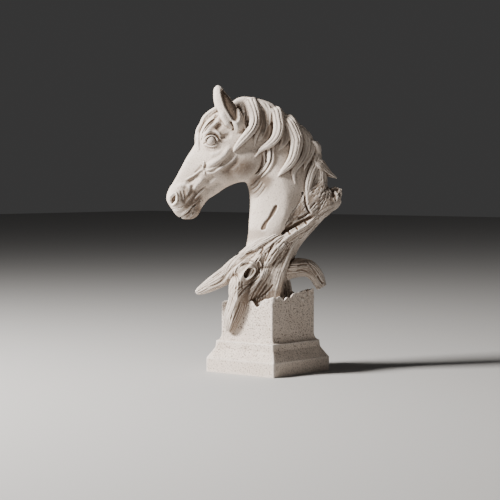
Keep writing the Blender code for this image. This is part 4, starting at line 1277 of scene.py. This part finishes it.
    def limb(self, points: tuple, radii: tuple, squash: float, flutes: int, depth: float,
             roundness: float, turned: float, rings: int = 70, around: int = 72,
             ) -> bpy.types.Object:
        """A weathered limb: a tapering loft with blunt arrises and shallow flutes.

        Args:
            points: places along the limb.
            radii: radius at each place.
            squash: width across the side plane, as a share of the radius.
            flutes: how many broad flutes run along it.
            depth: depth of the flutes, as a share of the radius.
            roundness: 2 for a round section, less for one with arrises.
            turned: turn of the arris away from the side, in degrees.
            rings: sections along the limb.
            around: points round each section.

        Returns:
            The limb as a closed form.
        """
        path, radius, _, level, out, _ = self.spine(points, radii, rings)
        turn = np.arange(around) / around * 2 * math.pi
        sections = []
        for i in range(rings):
            share = i / (rings - 1)
            a = turn - math.radians(turned) + 0.12 * math.sin(5 * share)
            shape = (np.abs(np.cos(a)) ** roundness + np.abs(np.sin(a)) ** roundness)
            r = radius[i] * 1.06 * shape ** (-1 / roundness)
            r = r * (1 + depth * np.cos(flutes * turn + 2.2 * share + 0.8 * math.sin(7 * share)))
            sections.append(path[i] + (np.cos(turn) * r)[:, None] * level[i]
                            + (np.sin(turn) * r * squash)[:, None] * out[i])
        return loft(sections, "limb")

    def rubble(self) -> list[bpy.types.Object]:
        """Crumbs of broken wood and stone round the foot of the root.

        Returns:
            One form for each crumb.
        """
        crumbs = []
        for n in range(self.rubble_count):
            waves = np.sin((n + 1) * np.array((12.9898, 78.233, 37.719))) * 43758.5
            a, b, c = np.modf(waves)[0] % 1
            turn = math.radians(20 + 170 * a)
            reach = 24 + 7 * b
            height = 75 + 9 * c * (1 - 0.6 * b)
            centre = (8 + reach * math.cos(turn), reach * math.sin(turn), height)
            size = 1.6 + 1.7 * ((a * 7 + b * 3) % 1)
            crumbs.append(ellipsoid(centre, (size, size * 0.8, size * (0.6 + 0.5 * c)), 57 * a))
        return crumbs

    def whole(self) -> bpy.types.Object:
        """The root in one skin.

        Returns:
            The fused and slightly smoothed root.
        """
        forms = [self.limb(*row) for row in self.rows()]
        forms += [ellipsoid(*self.root_mass), ellipsoid(*self.knot), *self.rubble()]
        wood = fuse(forms, self.voxel, "driftwood")
        Clay(wood).relax(3)
        return wood

    def carve(self, clay: Clay, surface: Surface) -> None:
        """Cracks, the torn edge of the skin, the knot's eye, the grooves along the fibres, and painted
        shade on the snout's side and over the arch.

        Args:
            clay: the skin of the root.
            surface: the same skin before any detail, on which the strokes are laid.
        """
        for outline, depth, edge, *rest in self.near_sunk:
            clay.sink(outline, depth, edge, Side.NEAR, *rest)
        clay.settle()
        clay.relax(2)
        clay.carve(surface, self.near_marks, Side.NEAR)
        clay.carve(surface, self.far_marks, Side.FAR)
        clay.settle()
        clay.relax(1)
        clay.relax(4, np.clip(clay.stain_and_shade * 3 - 1.5, 0, 1))

    def split(self, across: np.ndarray, along: np.ndarray, seed: int) -> np.ndarray:
        """Depth of the split fibres at places given across and along the grain.

        Args:
            across: one or two columns in millimetres, two where the grain closes round a limb.
            along: distance along the grain.
            seed: picks the pattern.

        Returns:
            How far each place moves out, mostly below zero.
        """
        move = np.zeros(len(along))
        for n, (width, length, depth, sharp) in enumerate(self.fibres):
            columns = np.column_stack([across / width, along / length])
            if columns.shape[1] == 2:
                columns = np.column_stack([columns, np.zeros(len(along))])
            value = grain_noise(columns, 1.0, seed + 5 * n)
            move += depth * value if sharp == 1 else -depth * (1 - np.abs(value)) ** sharp
        return move

    def grain(self, places: np.ndarray) -> np.ndarray:
        """The fibres of the limb that lies nearest to each place, bent round the knot's eye.

        Args:
            places: points of the root's skin.

        Returns:
            How far each point moves out.
        """
        best = np.full(len(places), np.inf)
        move = np.zeros(len(places))
        warp = 0.9 * grain_noise(places, 11.0, 3)
        for n, (points, radii, *_) in enumerate(self.rows()):
            path, radius, along, level, out, length = self.spine(points, radii, 50)
            square = (places**2).sum(1)[:, None] - 2 * places @ path.T + (path**2).sum(1)
            k = square.argmin(1)
            away = np.sqrt(np.maximum(square.min(1), 0)) - radius[k]
            step = places - path[k]
            turn = np.arctan2((step * out[k]).sum(1), (step * level[k]).sum(1))
            girth = radius.mean()
            turn = turn + warp / girth
            ring = np.column_stack([np.cos(turn), np.sin(turn)]) * girth
            closer = away < best
            best[closer] = away[closer]
            run = length[k] + (step * along[k]).sum(1)
            move[closer] = self.split(ring[closer], run[closer], 11 + 31 * n)
        bent, share, calm = self.knot_grain(places, warp)
        return move * (1 - share) + bent * share * calm

    def knot_grain(self, places: np.ndarray, warp: np.ndarray) -> tuple[np.ndarray, ...]:
        """The fibres that bend round the knot's eye.

        Args:
            places: points of the root's skin.
            warp: how far the fibres stray at each point.

        Returns:
            For each point how far it moves out, how much it belongs to the knot and, lower in
            the eye, how strong the fibres are.
        """
        run = np.array(self.grain_run)
        offset = places[:, (0, 2)] - self.knot_eye
        down, beside = offset @ run, offset @ (-run[1], run[0])
        reach = np.hypot(down, beside)
        bend = (self.knot_reach / np.maximum(reach, self.knot_reach)) ** 2
        bent = self.split((beside * (1 - bend) + warp)[:, None], down * (1 + bend), 401)
        share = ramp(-reach, -(self.knot_reach + self.knot_spread), 0.5 * self.knot_spread)
        share *= ramp(places[:, 1], 8, 6)
        return bent, share, np.maximum(ramp(reach, 0.7 * self.knot_reach, 3), 0.25)

    def weather(self, clay: Clay) -> None:
        """Splits the wood along its grain and cuts short crossing dashes in the torn plank.

        Args:
            clay: the carved skin of the root.
        """
        slant = math.radians(self.dash_slant)
        turn = np.array(((math.cos(slant), 0, math.sin(slant)), (0, 1, 0),
                         (-math.sin(slant), 0, math.cos(slant))))
        places = clay.places
        f, z = places[:, 0], places[:, 2]
        foot_f, foot_z = self.plank_foot
        plank = ramp(z - foot_z + 0.5 * (f - foot_f), 0, 6) * ramp(-f, self.plank_behind, 5)
        plank *= ramp(-z, -self.plank_top, 6)
        dashes = ramp(grain_noise(places @ turn.T / (5.0, 1.1, 1.1), 1.0, 91), 0.1, 0.5)
        sunk = np.clip(clay.hollow((6, 24), (0.8, 2.5)), 0, 1)
        calm = (1 - 0.6 * clay.stain_and_shade) * (1 - 0.8 * sunk)
        move = self.grain(places) * (1 - plank) * calm - 0.6 * plank * dashes
        broken = ramp(-f, self.broken_behind, 4) * ramp(z, self.broken_from, 6)
        broken *= ramp(-z, -self.broken_to, 3)
        chips = np.clip(0.4 + grain_noise(places / (2.6, 2.6, 5), 1.0, 53), 0, 1)
        move -= self.splinter * broken * chips
        move += self.crumble * grain_noise(places, 1.4, 17)
        clay.places += clay.out * move[:, None]
        clay.stain_and_shade = np.maximum(clay.stain_and_shade, 0.8 * plank)
        clay.settle()

    def build(self) -> Clay:
        """The root in one skin, split, carved, stained and given painted shade.

        Returns:
            The finished skin.
        """
        clay = Clay(self.whole())
        clay.keep_largest()
        clay.relax(1)
        surface = Surface(clay.obj)
        self.carve(clay, surface)
        self.weather(clay)
        return clay


@dataclass
class Figure:
    """Horse and root, each in one skin, and the marks their finish reads."""

    horse: Horse = field(default_factory=Horse)
    mane: Mane = field(default_factory=Mane)
    root: Driftwood = field(default_factory=Driftwood)
    voxel: float = 0.56
    triangles: int = 196000
    chalk: float = 0.07
    # Depths in millimetres that count as fully sunk at a small, middle and large reach
    recesses: dict = field(default_factory=lambda: {"horse": (0.6, 1.4, 3.4),
                                                    "driftwood": (0.32, 1.0, 3.0)})

    def carved_horse(self) -> Clay:
        """Head, neck and mane in one skin, combed and carved.

        Returns:
            The finished skin.
        """
        soft = self.horse.soft()
        hair = self.mane.hair(Surface(soft))
        clay = Clay(fuse([*self.horse.shaped(soft), *hair], self.voxel, "horse"))
        clay.keep_largest()
        clay.relax(1)
        ring = np.array(self.horse.tear)
        flat = clay.places[:, (0, 2)]
        torn = ((flat > ring.min(0) - 1) & (flat < ring.max(0) + 1)).all(1)
        clay.relax(4, (torn & (clay.places[:, 1] > 0)).astype(float))
        surface = Surface(clay.obj)
        self.mane.comb(clay, surface)
        self.horse.detail(clay, surface)
        return clay

    def build(self) -> list[bpy.types.Object]:
        """Carves the figure on the pattern.

        Returns:
            The finished skins of horse and root, in the frame's metres.
        """
        skins = {"horse": self.carved_horse(), "driftwood": self.root.build()}
        for name, clay in skins.items():
            log.info("%s: %d points", name, len(clay.places))
            clay.places += clay.out * (self.chalk * grain_noise(clay.places, 1.3, 5))[:, None]
            clay.settle()
            marks = {"hollow": clay.hollow((4, 16, 60), self.recesses[name]),
                     "wood": np.full(len(clay.places), float(name == "driftwood")),
                     "stain_and_shade": clay.stain_and_shade}
            thin(clay, self.triangles, marks)
            clay.obj.name = name
        made = [clay.obj for clay in skins.values()]
        # painted shade where the skins close in on one another
        occlusion_shade(made)
        for obj in made:
            obj.data.transform(Matrix.Rotation(LOOK_ANGLE, 4, "Z") @ Matrix.Scale(MM, 4))
            obj.data.shade_smooth()
        return made


@dataclass
class Plinth:
    """Square moulded plinth with a broken rim, in millimetres."""

    foot_width: float = 97.0
    foot_height: float = 15.5
    shoulder_width: float = 83.0
    shoulder_height: float = 27.0
    band_width: float = 81.5
    band_height: float = 34.5
    cove_height: float = 8.5
    shaft_width: float = SHAFT_WIDTH
    corner_round: float = 1.4
    rim_fall: float = 15.0
    rim_thickness: float = 5.0
    floor_depth: float = 7.0
    crumble: float = 0.7
    crumble_from: float = 66.0
    crumble_span: float = 14.0
    sand: float = 0.12
    voxel: float = 0.7
    triangles: int = 140000
    # (side and share along it, depth of the notch, half width in shares of a side)
    notches: tuple = (
        (0.72, 7.2, 0.11), (1.0, -2.0, 0.09), (1.28, 4.2, 0.09), (1.42, 2.0, 0.08),
        (1.86, 1.5, 0.07), (2.3, 6.0, 0.14), (2.7, 3.0, 0.1), (3.2, 2.0, 0.1), (3.55, 5.5, 0.16),
    )

    def rim_height(self, x: float, y: float) -> float:
        """Height of the broken rim above the underside at a point of the shaft's outline.

        Args:
            x: the point across the plinth.
            y: the point along it.

        Returns:
            The height there.
        """
        half = self.shaft_width / 2
        u, v = x / half, y / half
        if v <= -max(abs(u), 0.98):
            around = (u + 1) / 2
        elif u >= 0.98:
            around = 1 + (v + 1) / 2
        elif v >= 0.98:
            around = 2 + (1 - u) / 2
        else:
            around = 3 + (1 - v) / 2
        height = RIM_HEIGHT + self.rim_fall * (u + v) / 4
        for place, depth, half_width in self.notches:
            away = abs((around - place + 2) % 4 - 2) / half_width
            height -= depth * max(0.0, 1 - away * away) ** 1.5
        chips = np.array([[10 * around, 0.0, 0.0]])
        for cell, depth in ((2.3, 0.7), (1.1, 1.1), (0.55, 0.9)):
            height += depth * float(grain_noise(chips, cell, 71)[0])
        return height

    def levels(self) -> list[Pair]:
        """Widths and heights up the plinth's profile.

        Returns:
            Full width and height of each step, from the foot to the rim.
        """
        rows = [(self.foot_width, self.foot_height), (self.shoulder_width, self.shoulder_height),
                (self.band_width, self.band_height)]
        for step in range(1, 7):
            angle = step / 6 * math.pi / 2
            cove = (self.band_width - self.shaft_width) * (1 - math.sin(angle))
            rows.append((self.shaft_width + cove,
                         self.band_height + self.cove_height * (1 - math.cos(angle))))
        rows.append((self.shaft_width, RIM_HEIGHT))
        return rows

    def cage(self) -> bpy.types.Object:
        """The moulded block with its hollow top, before it is weathered.

        Returns:
            The closed block.
        """
        bm = bmesh.new()
        turned = Matrix.Rotation(math.radians(45), 3, "Z")
        bmesh.ops.create_circle(bm, cap_ends=False, segments=4,
                                radius=self.foot_width / math.sqrt(2))
        bmesh.ops.rotate(bm, verts=bm.verts, matrix=turned)
        ring = bm.edges[:]
        width, reached = self.foot_width, 0.0
        for next_width, height in self.levels():
            grown = bmesh.ops.extrude_edge_only(bm, edges=ring)["geom"]
            verts = [e for e in grown if isinstance(e, bmesh.types.BMVert)]
            ring = [e for e in grown if isinstance(e, bmesh.types.BMEdge)
                    and all(v in verts for v in e.verts)]
            grow = next_width / width
            bmesh.ops.scale(bm, verts=verts, vec=(grow, grow, 1))
            bmesh.ops.translate(bm, verts=verts, vec=(0, 0, height - reached))
            width, reached = next_width, height
        bmesh.ops.holes_fill(bm, edges=bm.edges)
        bmesh.ops.recalc_face_normals(bm, faces=bm.faces)
        uprights = [e for e in bm.edges if abs(e.verts[0].co.z - e.verts[1].co.z) > 1e-3]
        bmesh.ops.bevel(bm, geom=uprights, offset=self.corner_round, segments=3, profile=0.5,
                        affect="EDGES", material=-1)
        top = max(bm.faces, key=lambda f: f.calc_center_median().z)
        sides = [e for e in top.edges if e.calc_length() > self.shaft_width / 2]
        bmesh.ops.subdivide_edges(bm, edges=sides, cuts=47)
        top = max(bm.faces, key=lambda f: f.calc_center_median().z)
        outer = list(top.verts)
        bmesh.ops.inset_individual(bm, faces=[top], thickness=self.rim_thickness / 2)
        middle = list(top.verts)
        bmesh.ops.inset_individual(bm, faces=[top], thickness=self.rim_thickness / 2)
        inner = list(top.verts)
        bmesh.ops.triangulate(bm, faces=bm.faces)
        for verts, drop in ((outer, 0.0), (middle, 0.8), (inner, self.floor_depth)):
            for v in verts:
                spread = self.shaft_width / 2 / max(abs(v.co.x), abs(v.co.y))
                v.co.z = self.rim_height(v.co.x * spread, v.co.y * spread) - drop
        return object_from(bm, "plinth")

    def build(self) -> bpy.types.Object:
        """Weathers the block: a crumbled rim, worn arrises and a sandy face.

        Returns:
            The finished plinth, in the frame's metres.
        """
        plinth = fuse([self.cage()], self.voxel, "plinth")
        clay = Clay(plinth)
        clay.keep_largest()
        clay.relax(1)
        places = clay.places
        rim = ramp(places[:, 2], self.crumble_from, self.crumble_span)
        crumble = grain_noise(places, 4.2, 31) + 0.6 * grain_noise(places, 2.0, 32)
        sand = 0.6 * grain_noise(places, 1.7, 33) + 0.4 * grain_noise(places, 5.0, 34)
        above = ramp(places[:, 2], 0, 1.5)
        move = self.crumble * crumble * rim**2 * ramp(rim * 2, 0.4, 1) + self.sand * sand
        clay.places += clay.out * (move * above)[:, None]
        clay.settle()
        sunk = clay.hollow((4, 16, 60), (0.6, 1.4, 3.0))
        none = np.zeros(len(sunk))
        thin(clay, self.triangles, {"hollow": sunk, "occlusion_shade": none, "wood": none, "stain_and_shade": none})
        plinth.data.transform(Matrix.Scale(MM, 4))
        plinth.data.shade_smooth()
        return plinth


@dataclass(frozen=True)
class StoneFinish:
    """Cast resin filled with sand: a pale coat, a thin brown paint in the hollows that also carries
    painted shade, ridges lightened as wear and painted highlight, and fine specks.
    """

    name: str
    pale: Triple = (0.72, 0.62, 0.535)
    warm: Triple = (0.46, 0.37, 0.295)
    # brown of the paint in hollows, also laid on as painted shade
    wash_and_shade: Triple = (0.115, 0.074, 0.047)
    # lighter colour of the ridges: dry-brushed wear and painted highlight
    worn_and_highlight: Triple = (0.80, 0.74, 0.68)
    speck: Triple = (0.15, 0.11, 0.085)
    wash_and_shade_amount: float = 0.96
    speck_amount: float = 0.46
    warm_share: float = 0.35
    worn_and_highlight_share: float = 0.6
    roughness: float = 0.86
    roughness_spread: float = 0.06
    specular: float = 0.28
    grit: float = 0.42
    grit_height: float = 0.0006


class Net:
    """A shader tree that takes new nodes in few words."""

    def __init__(self, tree: bpy.types.NodeTree) -> None:
        """Takes the tree in hand."""
        self.tree = tree

    @classmethod
    def group(cls, name: str, inputs: dict[str, tuple[str, object]], outputs: dict[str, str],
              ) -> tuple["Net", bpy.types.Node, bpy.types.Node]:
        """A new shader group with its sockets.

        Args:
            name: name of the group.
            inputs: socket type and default by socket name.
            outputs: socket type by socket name.

        Returns:
            The net of the group, its input node and its output node.
        """
        tree = bpy.data.node_groups.new(name, "ShaderNodeTree")
        for label, (kind, default) in inputs.items():
            socket = tree.interface.new_socket(name=label, in_out="INPUT", socket_type=kind)
            socket.default_value = default
        for label, kind in outputs.items():
            tree.interface.new_socket(name=label, in_out="OUTPUT", socket_type=kind)
        return cls(tree), tree.nodes.new("NodeGroupInput"), tree.nodes.new("NodeGroupOutput")

    def feed(self, term: Term, socket: bpy.types.NodeSocket) -> None:
        """Links or sets one input.

        Args:
            term: a socket to link, or a number or colour to set.
            socket: the input.
        """
        if isinstance(term, bpy.types.NodeSocket):
            self.tree.links.new(term, socket)
        else:
            socket.default_value = (*term, 1.0) if isinstance(term, tuple) else term

    def fill(self, node: bpy.types.Node, terms: dict[str, Term]) -> bpy.types.Node:
        """Links or sets several inputs of a node.

        Args:
            node: the node.
            terms: what each input gets, by its name.

        Returns:
            The same node.
        """
        for label, term in terms.items():
            self.feed(term, node.inputs[label])
        return node

    def noise(self, vector: Term, scale: float, detail: float, roughness: float = 0.5,
              ) -> bpy.types.NodeSocket:
        """A noise texture.

        Args:
            vector: the coordinates.
            scale: waves in a metre.
            detail: how many finer layers it has.
            roughness: how strong the finer layers are.

        Returns:
            Its value.
        """
        return self.fill(self.tree.nodes.new("ShaderNodeTexNoise"), {
            "Vector": vector, "Scale": scale, "Detail": detail, "Roughness": roughness,
        }).outputs["Fac"]

    def math(self, kind: str, a: Term, b: Term, clamp: bool = False) -> bpy.types.NodeSocket:
        """One sum of two terms.

        Args:
            kind: name of the operation.
            a: first term.
            b: second term.
            clamp: whether the result is held between 0 and 1.

        Returns:
            The result.
        """
        node = self.tree.nodes.new("ShaderNodeMath")
        node.operation = kind
        node.use_clamp = clamp
        for term, socket in zip((a, b), node.inputs):
            self.feed(term, socket)
        return node.outputs[0]

    def stretch(self, value: Term, low: float, high: float, to_low: float = 0.0,
                to_high: float = 1.0) -> bpy.types.NodeSocket:
        """A value stretched from one range to another and held at its ends.

        Args:
            value: the value.
            low: start of the first range.
            high: end of the first range.
            to_low: start of the second range.
            to_high: end of the second range.

        Returns:
            The stretched value.
        """
        node = self.tree.nodes.new("ShaderNodeMapRange")
        node.clamp = True
        for term, socket in zip((value, low, high, to_low, to_high), node.inputs):
            self.feed(term, socket)
        return node.outputs["Result"]

    def blend(self, share: Term, a: Term, b: Term) -> bpy.types.NodeSocket:
        """A mix of two colours.

        Args:
            share: how much of the second colour there is.
            a: first colour.
            b: second colour.

        Returns:
            The mixed colour.
        """
        node = self.tree.nodes.new("ShaderNodeMix")
        node.data_type = "RGBA"
        for term, place in ((share, 0), (a, 6), (b, 7)):
            self.feed(term, node.inputs[place])
        return node.outputs[2]

    def place(self, group: bpy.types.NodeTree, terms: dict[str, Term]) -> bpy.types.Node:
        """Puts a shared group into the tree.

        Args:
            group: the group.
            terms: what each of its inputs gets here, by name.

        Returns:
            The group's node.
        """
        node = self.tree.nodes.new("ShaderNodeGroup")
        node.node_tree = group
        return self.fill(node, terms)


class StoneShop:
    """Mixes the materials from groups shared by all pieces."""

    def __init__(self) -> None:
        """Builds the shared groups."""
        self.specks = self.make_specks()
        self.wash_and_shade = self.make_wash_and_shade()
        self.sand = self.make_sand()

    def make_specks(self) -> bpy.types.NodeTree:
        """Fine dark and light grains of the filler.

        Returns:
            The group, with two masks and a broad cloud.
        """
        net, start, end = Net.group(
            "filler specks", {"Vector": ("NodeSocketVector", (0, 0, 0)),
                              "Amount": ("NodeSocketFloat", 0.5)},
            {"Dark": "NodeSocketFloat", "Light": "NodeSocketFloat", "Cloud": "NodeSocketFloat"})
        vector, amount = start.outputs["Vector"], start.outputs["Amount"]
        fine = net.noise(vector, 1300, 2.0, 0.6)
        coarse = net.noise(vector, 640, 2.0, 0.6)
        cloud = net.noise(vector, 45, 3.0, 0.55)
        dark = net.math("MAXIMUM", net.stretch(fine, 0.56, 0.70), net.stretch(coarse, 0.565, 0.65))
        light = net.stretch(fine, 0.46, 0.34)
        net.fill(end, {"Dark": net.math("MULTIPLY", dark, amount),
                       "Light": net.math("MULTIPLY", light, amount),
                       "Cloud": net.stretch(cloud, 0.35, 0.68)})
        return net.tree

    def make_wash_and_shade(self) -> bpy.types.NodeTree:
        """Where the thin brown paint stays in hollows, more of it on wood, with painted shade added
        under overhangs, in closed-in places and on the marked patches.

        Returns:
            The group, with masks for the paint with its painted shade and for the lighter ridges, worn
            and painted highlight.
        """
        net, start, end = Net.group(
            "brown wash", {"Hollow": ("NodeSocketFloat", 0.0), "Occlusion_shade": ("NodeSocketFloat", 0.0),
                           "Wood": ("NodeSocketFloat", 0.0), "Stain_and_shade": ("NodeSocketFloat", 0.0),
                           "Cloud": ("NodeSocketFloat", 0.5), "Amount": ("NodeSocketFloat", 0.9)},
            {"Wash_and_shade": "NodeSocketFloat", "Worn_and_highlight": "NodeSocketFloat"})
        hollow, shade, wood, stain_and_shade, cloud, amount = (start.outputs[label] for label in (
            "Hollow", "Occlusion_shade", "Wood", "Stain_and_shade", "Cloud", "Amount"))
        rough = net.math("MULTIPLY", wood, 0.15)
        sunk = net.stretch(net.math("ADD", hollow, rough), 0.05, 0.76, 0.0, 0.94)
        # painted shade where the skin is closed in, added to the paint in the hollows
        both = net.math("ADD", net.stretch(shade, 0.18, 0.68, 0.0, 0.85), sunk)
        film = net.stretch(net.math("ADD", cloud, hollow), 0.0, 1.2, 0.05, 0.62)
        film = net.math("MULTIPLY", wood, film)
        # the marked patches bring stain and painted shade
        wash_and_shade = net.math("MAXIMUM", net.math("MAXIMUM", both, film), stain_and_shade)
        net.fill(end, {"Wash_and_shade": net.math("MULTIPLY", wash_and_shade, amount, clamp=True),
                       # lighter on ridges: dry-brushed wear and painted highlight
                       "Worn_and_highlight": net.stretch(hollow, -0.05, -0.6)})
        return net.tree

    def make_sand(self) -> bpy.types.NodeTree:
        """The sandy face.

        Returns:
            The group, with the height of the grit.
        """
        net, start, end = Net.group("sandy face", {"Vector": ("NodeSocketVector", (0, 0, 0))},
                                    {"Height": "NodeSocketFloat"})
        fine = net.math("MULTIPLY", net.noise(start.outputs["Vector"], 1500, 2.0), 0.5)
        coarse = net.noise(start.outputs["Vector"], 600, 3.0)
        net.fill(end, {"Height": net.math("ADD", fine, coarse)})
        return net.tree

    def stone(self, finish: StoneFinish) -> bpy.types.Material:
        """The material of one piece.

        Args:
            finish: its colours and amounts.

        Returns:
            The node material.
        """
        material = bpy.data.materials.new(finish.name)
        material.use_nodes = True
        net = Net(material.node_tree)
        place = net.tree.nodes.new("ShaderNodeTexCoord").outputs["Object"]
        marks = {}
        for label in ("Hollow", "Occlusion_shade", "Wood", "Stain_and_shade"):
            node = net.tree.nodes.new("ShaderNodeAttribute")
            node.attribute_name = label.lower()
            marks[label] = node.outputs["Fac"]
        specks = net.place(self.specks, {"Vector": place, "Amount": finish.speck_amount}).outputs
        wash_and_shade = net.place(self.wash_and_shade, {**marks, "Cloud": specks["Cloud"],
                                     "Amount": finish.wash_and_shade_amount}).outputs
        sand = net.place(self.sand, {"Vector": place}).outputs
        cloud = net.stretch(specks["Cloud"], 0.0, 1.0, 0.0, finish.warm_share)
        colour = net.blend(cloud, finish.pale, finish.warm)
        # the brown paint carries painted shade too, and the lighter ridges are partly painted highlight
        for share, coat in ((specks["Light"], finish.pale), (specks["Dark"], finish.speck),
                            (wash_and_shade["Wash_and_shade"], finish.wash_and_shade),
                            (net.math("MULTIPLY", wash_and_shade["Worn_and_highlight"], finish.worn_and_highlight_share), finish.worn_and_highlight)):
            colour = net.blend(share, colour, coat)
        rough = net.stretch(specks["Cloud"], 0.0, 1.0, finish.roughness - finish.roughness_spread,
                            finish.roughness + finish.roughness_spread)
        bump = net.fill(net.tree.nodes.new("ShaderNodeBump"), {
            "Strength": finish.grit, "Distance": finish.grit_height, "Height": sand["Height"]})
        net.fill(net.tree.nodes["Principled BSDF"], {
            "Base Color": colour, "Roughness": rough, "Specular IOR Level": finish.specular,
            "Normal": bump.outputs["Normal"]})
        return material


@dataclass
class Studio:
    """Camera at the photograph's view, a pale floor and soft light from the left."""

    distance: float = 1.82
    height: float = 0.215
    azimuth: float = math.radians(40)
    focal_pixels: float = 1655.0
    frame_pixels: float = 500.0
    horizon_row: float = 176.0
    middle_column: float = 268.0
    sensor: float = 36.0
    lamp_distance: float = 1.5
    lamp_aim: float = 0.17
    floor_half: float = 6
    floor_colour: Triple = (0.45, 0.44, 0.43)
    floor_roughness: float = 0.9
    surround: Triple = (0.105, 0.104, 0.104)
    surround_strength: float = 0.42

    def direction(self, azimuth: float, elevation: float = 0.0) -> Vector:
        """The way from the object to a viewer at the given angles."""
        return Vector((math.sin(azimuth) * math.cos(elevation),
                       -math.cos(azimuth) * math.cos(elevation), math.sin(elevation)))

    def camera(self) -> None:
        """Sets the camera so that the render lines up with the photograph."""
        data = bpy.data.cameras.new("photo camera")
        camera = bpy.data.objects.new("photo camera", data)
        bpy.context.scene.collection.objects.link(camera)
        back = self.direction(self.azimuth)
        camera.location = back * self.distance + Vector((0, 0, self.height))
        drop = math.atan((self.frame_pixels / 2 - self.horizon_row) / self.focal_pixels)
        look = -back * math.cos(drop) - Vector((0, 0, math.sin(drop)))
        camera.rotation_euler = look.to_track_quat("-Z", "Y").to_euler()
        data.sensor_width = self.sensor
        data.lens = self.focal_pixels / self.frame_pixels * self.sensor
        data.shift_x = (self.frame_pixels / 2 - self.middle_column) / self.frame_pixels
        bpy.context.scene.camera = camera

    def lamp(self, name: str, turn: float, elevation: float, size: float, power: float,
             colour: Triple) -> None:
        """A soft square lamp, its turn measured from the camera, in degrees.

        Args:
            name: name of the lamp.
            turn: how far to the right of the camera it stands.
            elevation: its height in degrees above the object's middle.
            size: side of its square in metres.
            power: its power in watts.
            colour: its red, green and blue.
        """
        data = bpy.data.lights.new(name, "AREA")
        data.size = size
        data.energy = power
        data.color = colour
        lamp = bpy.data.objects.new(name, data)
        bpy.context.scene.collection.objects.link(lamp)
        back = self.direction(self.azimuth + math.radians(turn), math.radians(elevation))
        lamp.location = back * self.lamp_distance + Vector((0, 0, self.lamp_aim))
        lamp.rotation_euler = back.to_track_quat("Z", "Y").to_euler()

    def floor(self) -> None:
        """The plain pale floor."""
        bm = bmesh.new()
        bmesh.ops.create_grid(bm, x_segments=1, y_segments=1, size=self.floor_half)
        floor = object_from(bm, "floor")
        material = bpy.data.materials.new("pale floor")
        material.use_nodes = True
        shader = material.node_tree.nodes["Principled BSDF"]
        shader.inputs["Base Color"].default_value = (*self.floor_colour, 1)
        shader.inputs["Roughness"].default_value = self.floor_roughness
        floor.data.materials.append(material)

    def light(self) -> None:
        """A soft key from the left, a weak fill from the right and a grey surround."""
        self.lamp("key", -70, 33, 0.36, 85, (1.0, 0.975, 0.945))
        self.lamp("fill", 30, 35, 1.4, 0.4, (1.0, 0.97, 0.95))
        world = bpy.data.worlds.new("studio")
        world.use_nodes = True
        background = world.node_tree.nodes["Background"]
        background.inputs["Color"].default_value = (*self.surround, 1)
        background.inputs["Strength"].default_value = self.surround_strength
        bpy.context.scene.world = world

    def build(self) -> None:
        """Sets up camera, floor and light."""
        self.camera()
        self.floor()
        self.light()


def fit(piece: bpy.types.Object, material: bpy.types.Material) -> None:
    """Dresses a piece and ties it to the body that it stands for.

    Args:
        piece: the finished mesh.
        material: its finish.
    """
    piece.data.materials.clear()
    piece.data.materials.append(material)
    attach(piece, BODY)
    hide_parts(NODE)
    log.info("%s: %d faces", piece.name, len(piece.data.polygons))


def main() -> None:
    """Builds the dressed statue and its studio."""
    logging.basicConfig(level=logging.INFO, format="%(name)s: %(message)s")
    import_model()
    Studio().build()
    shop = StoneShop()
    carved = shop.stone(StoneFinish("carved resin"))
    for piece in Figure().build():
        fit(piece, carved)
    fit(Plinth().build(), shop.stone(StoneFinish("sandy plinth", wash_and_shade_amount=0.5,
                                                 speck_amount=1.0)))
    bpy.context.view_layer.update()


if __name__ == "__main__":
    main()
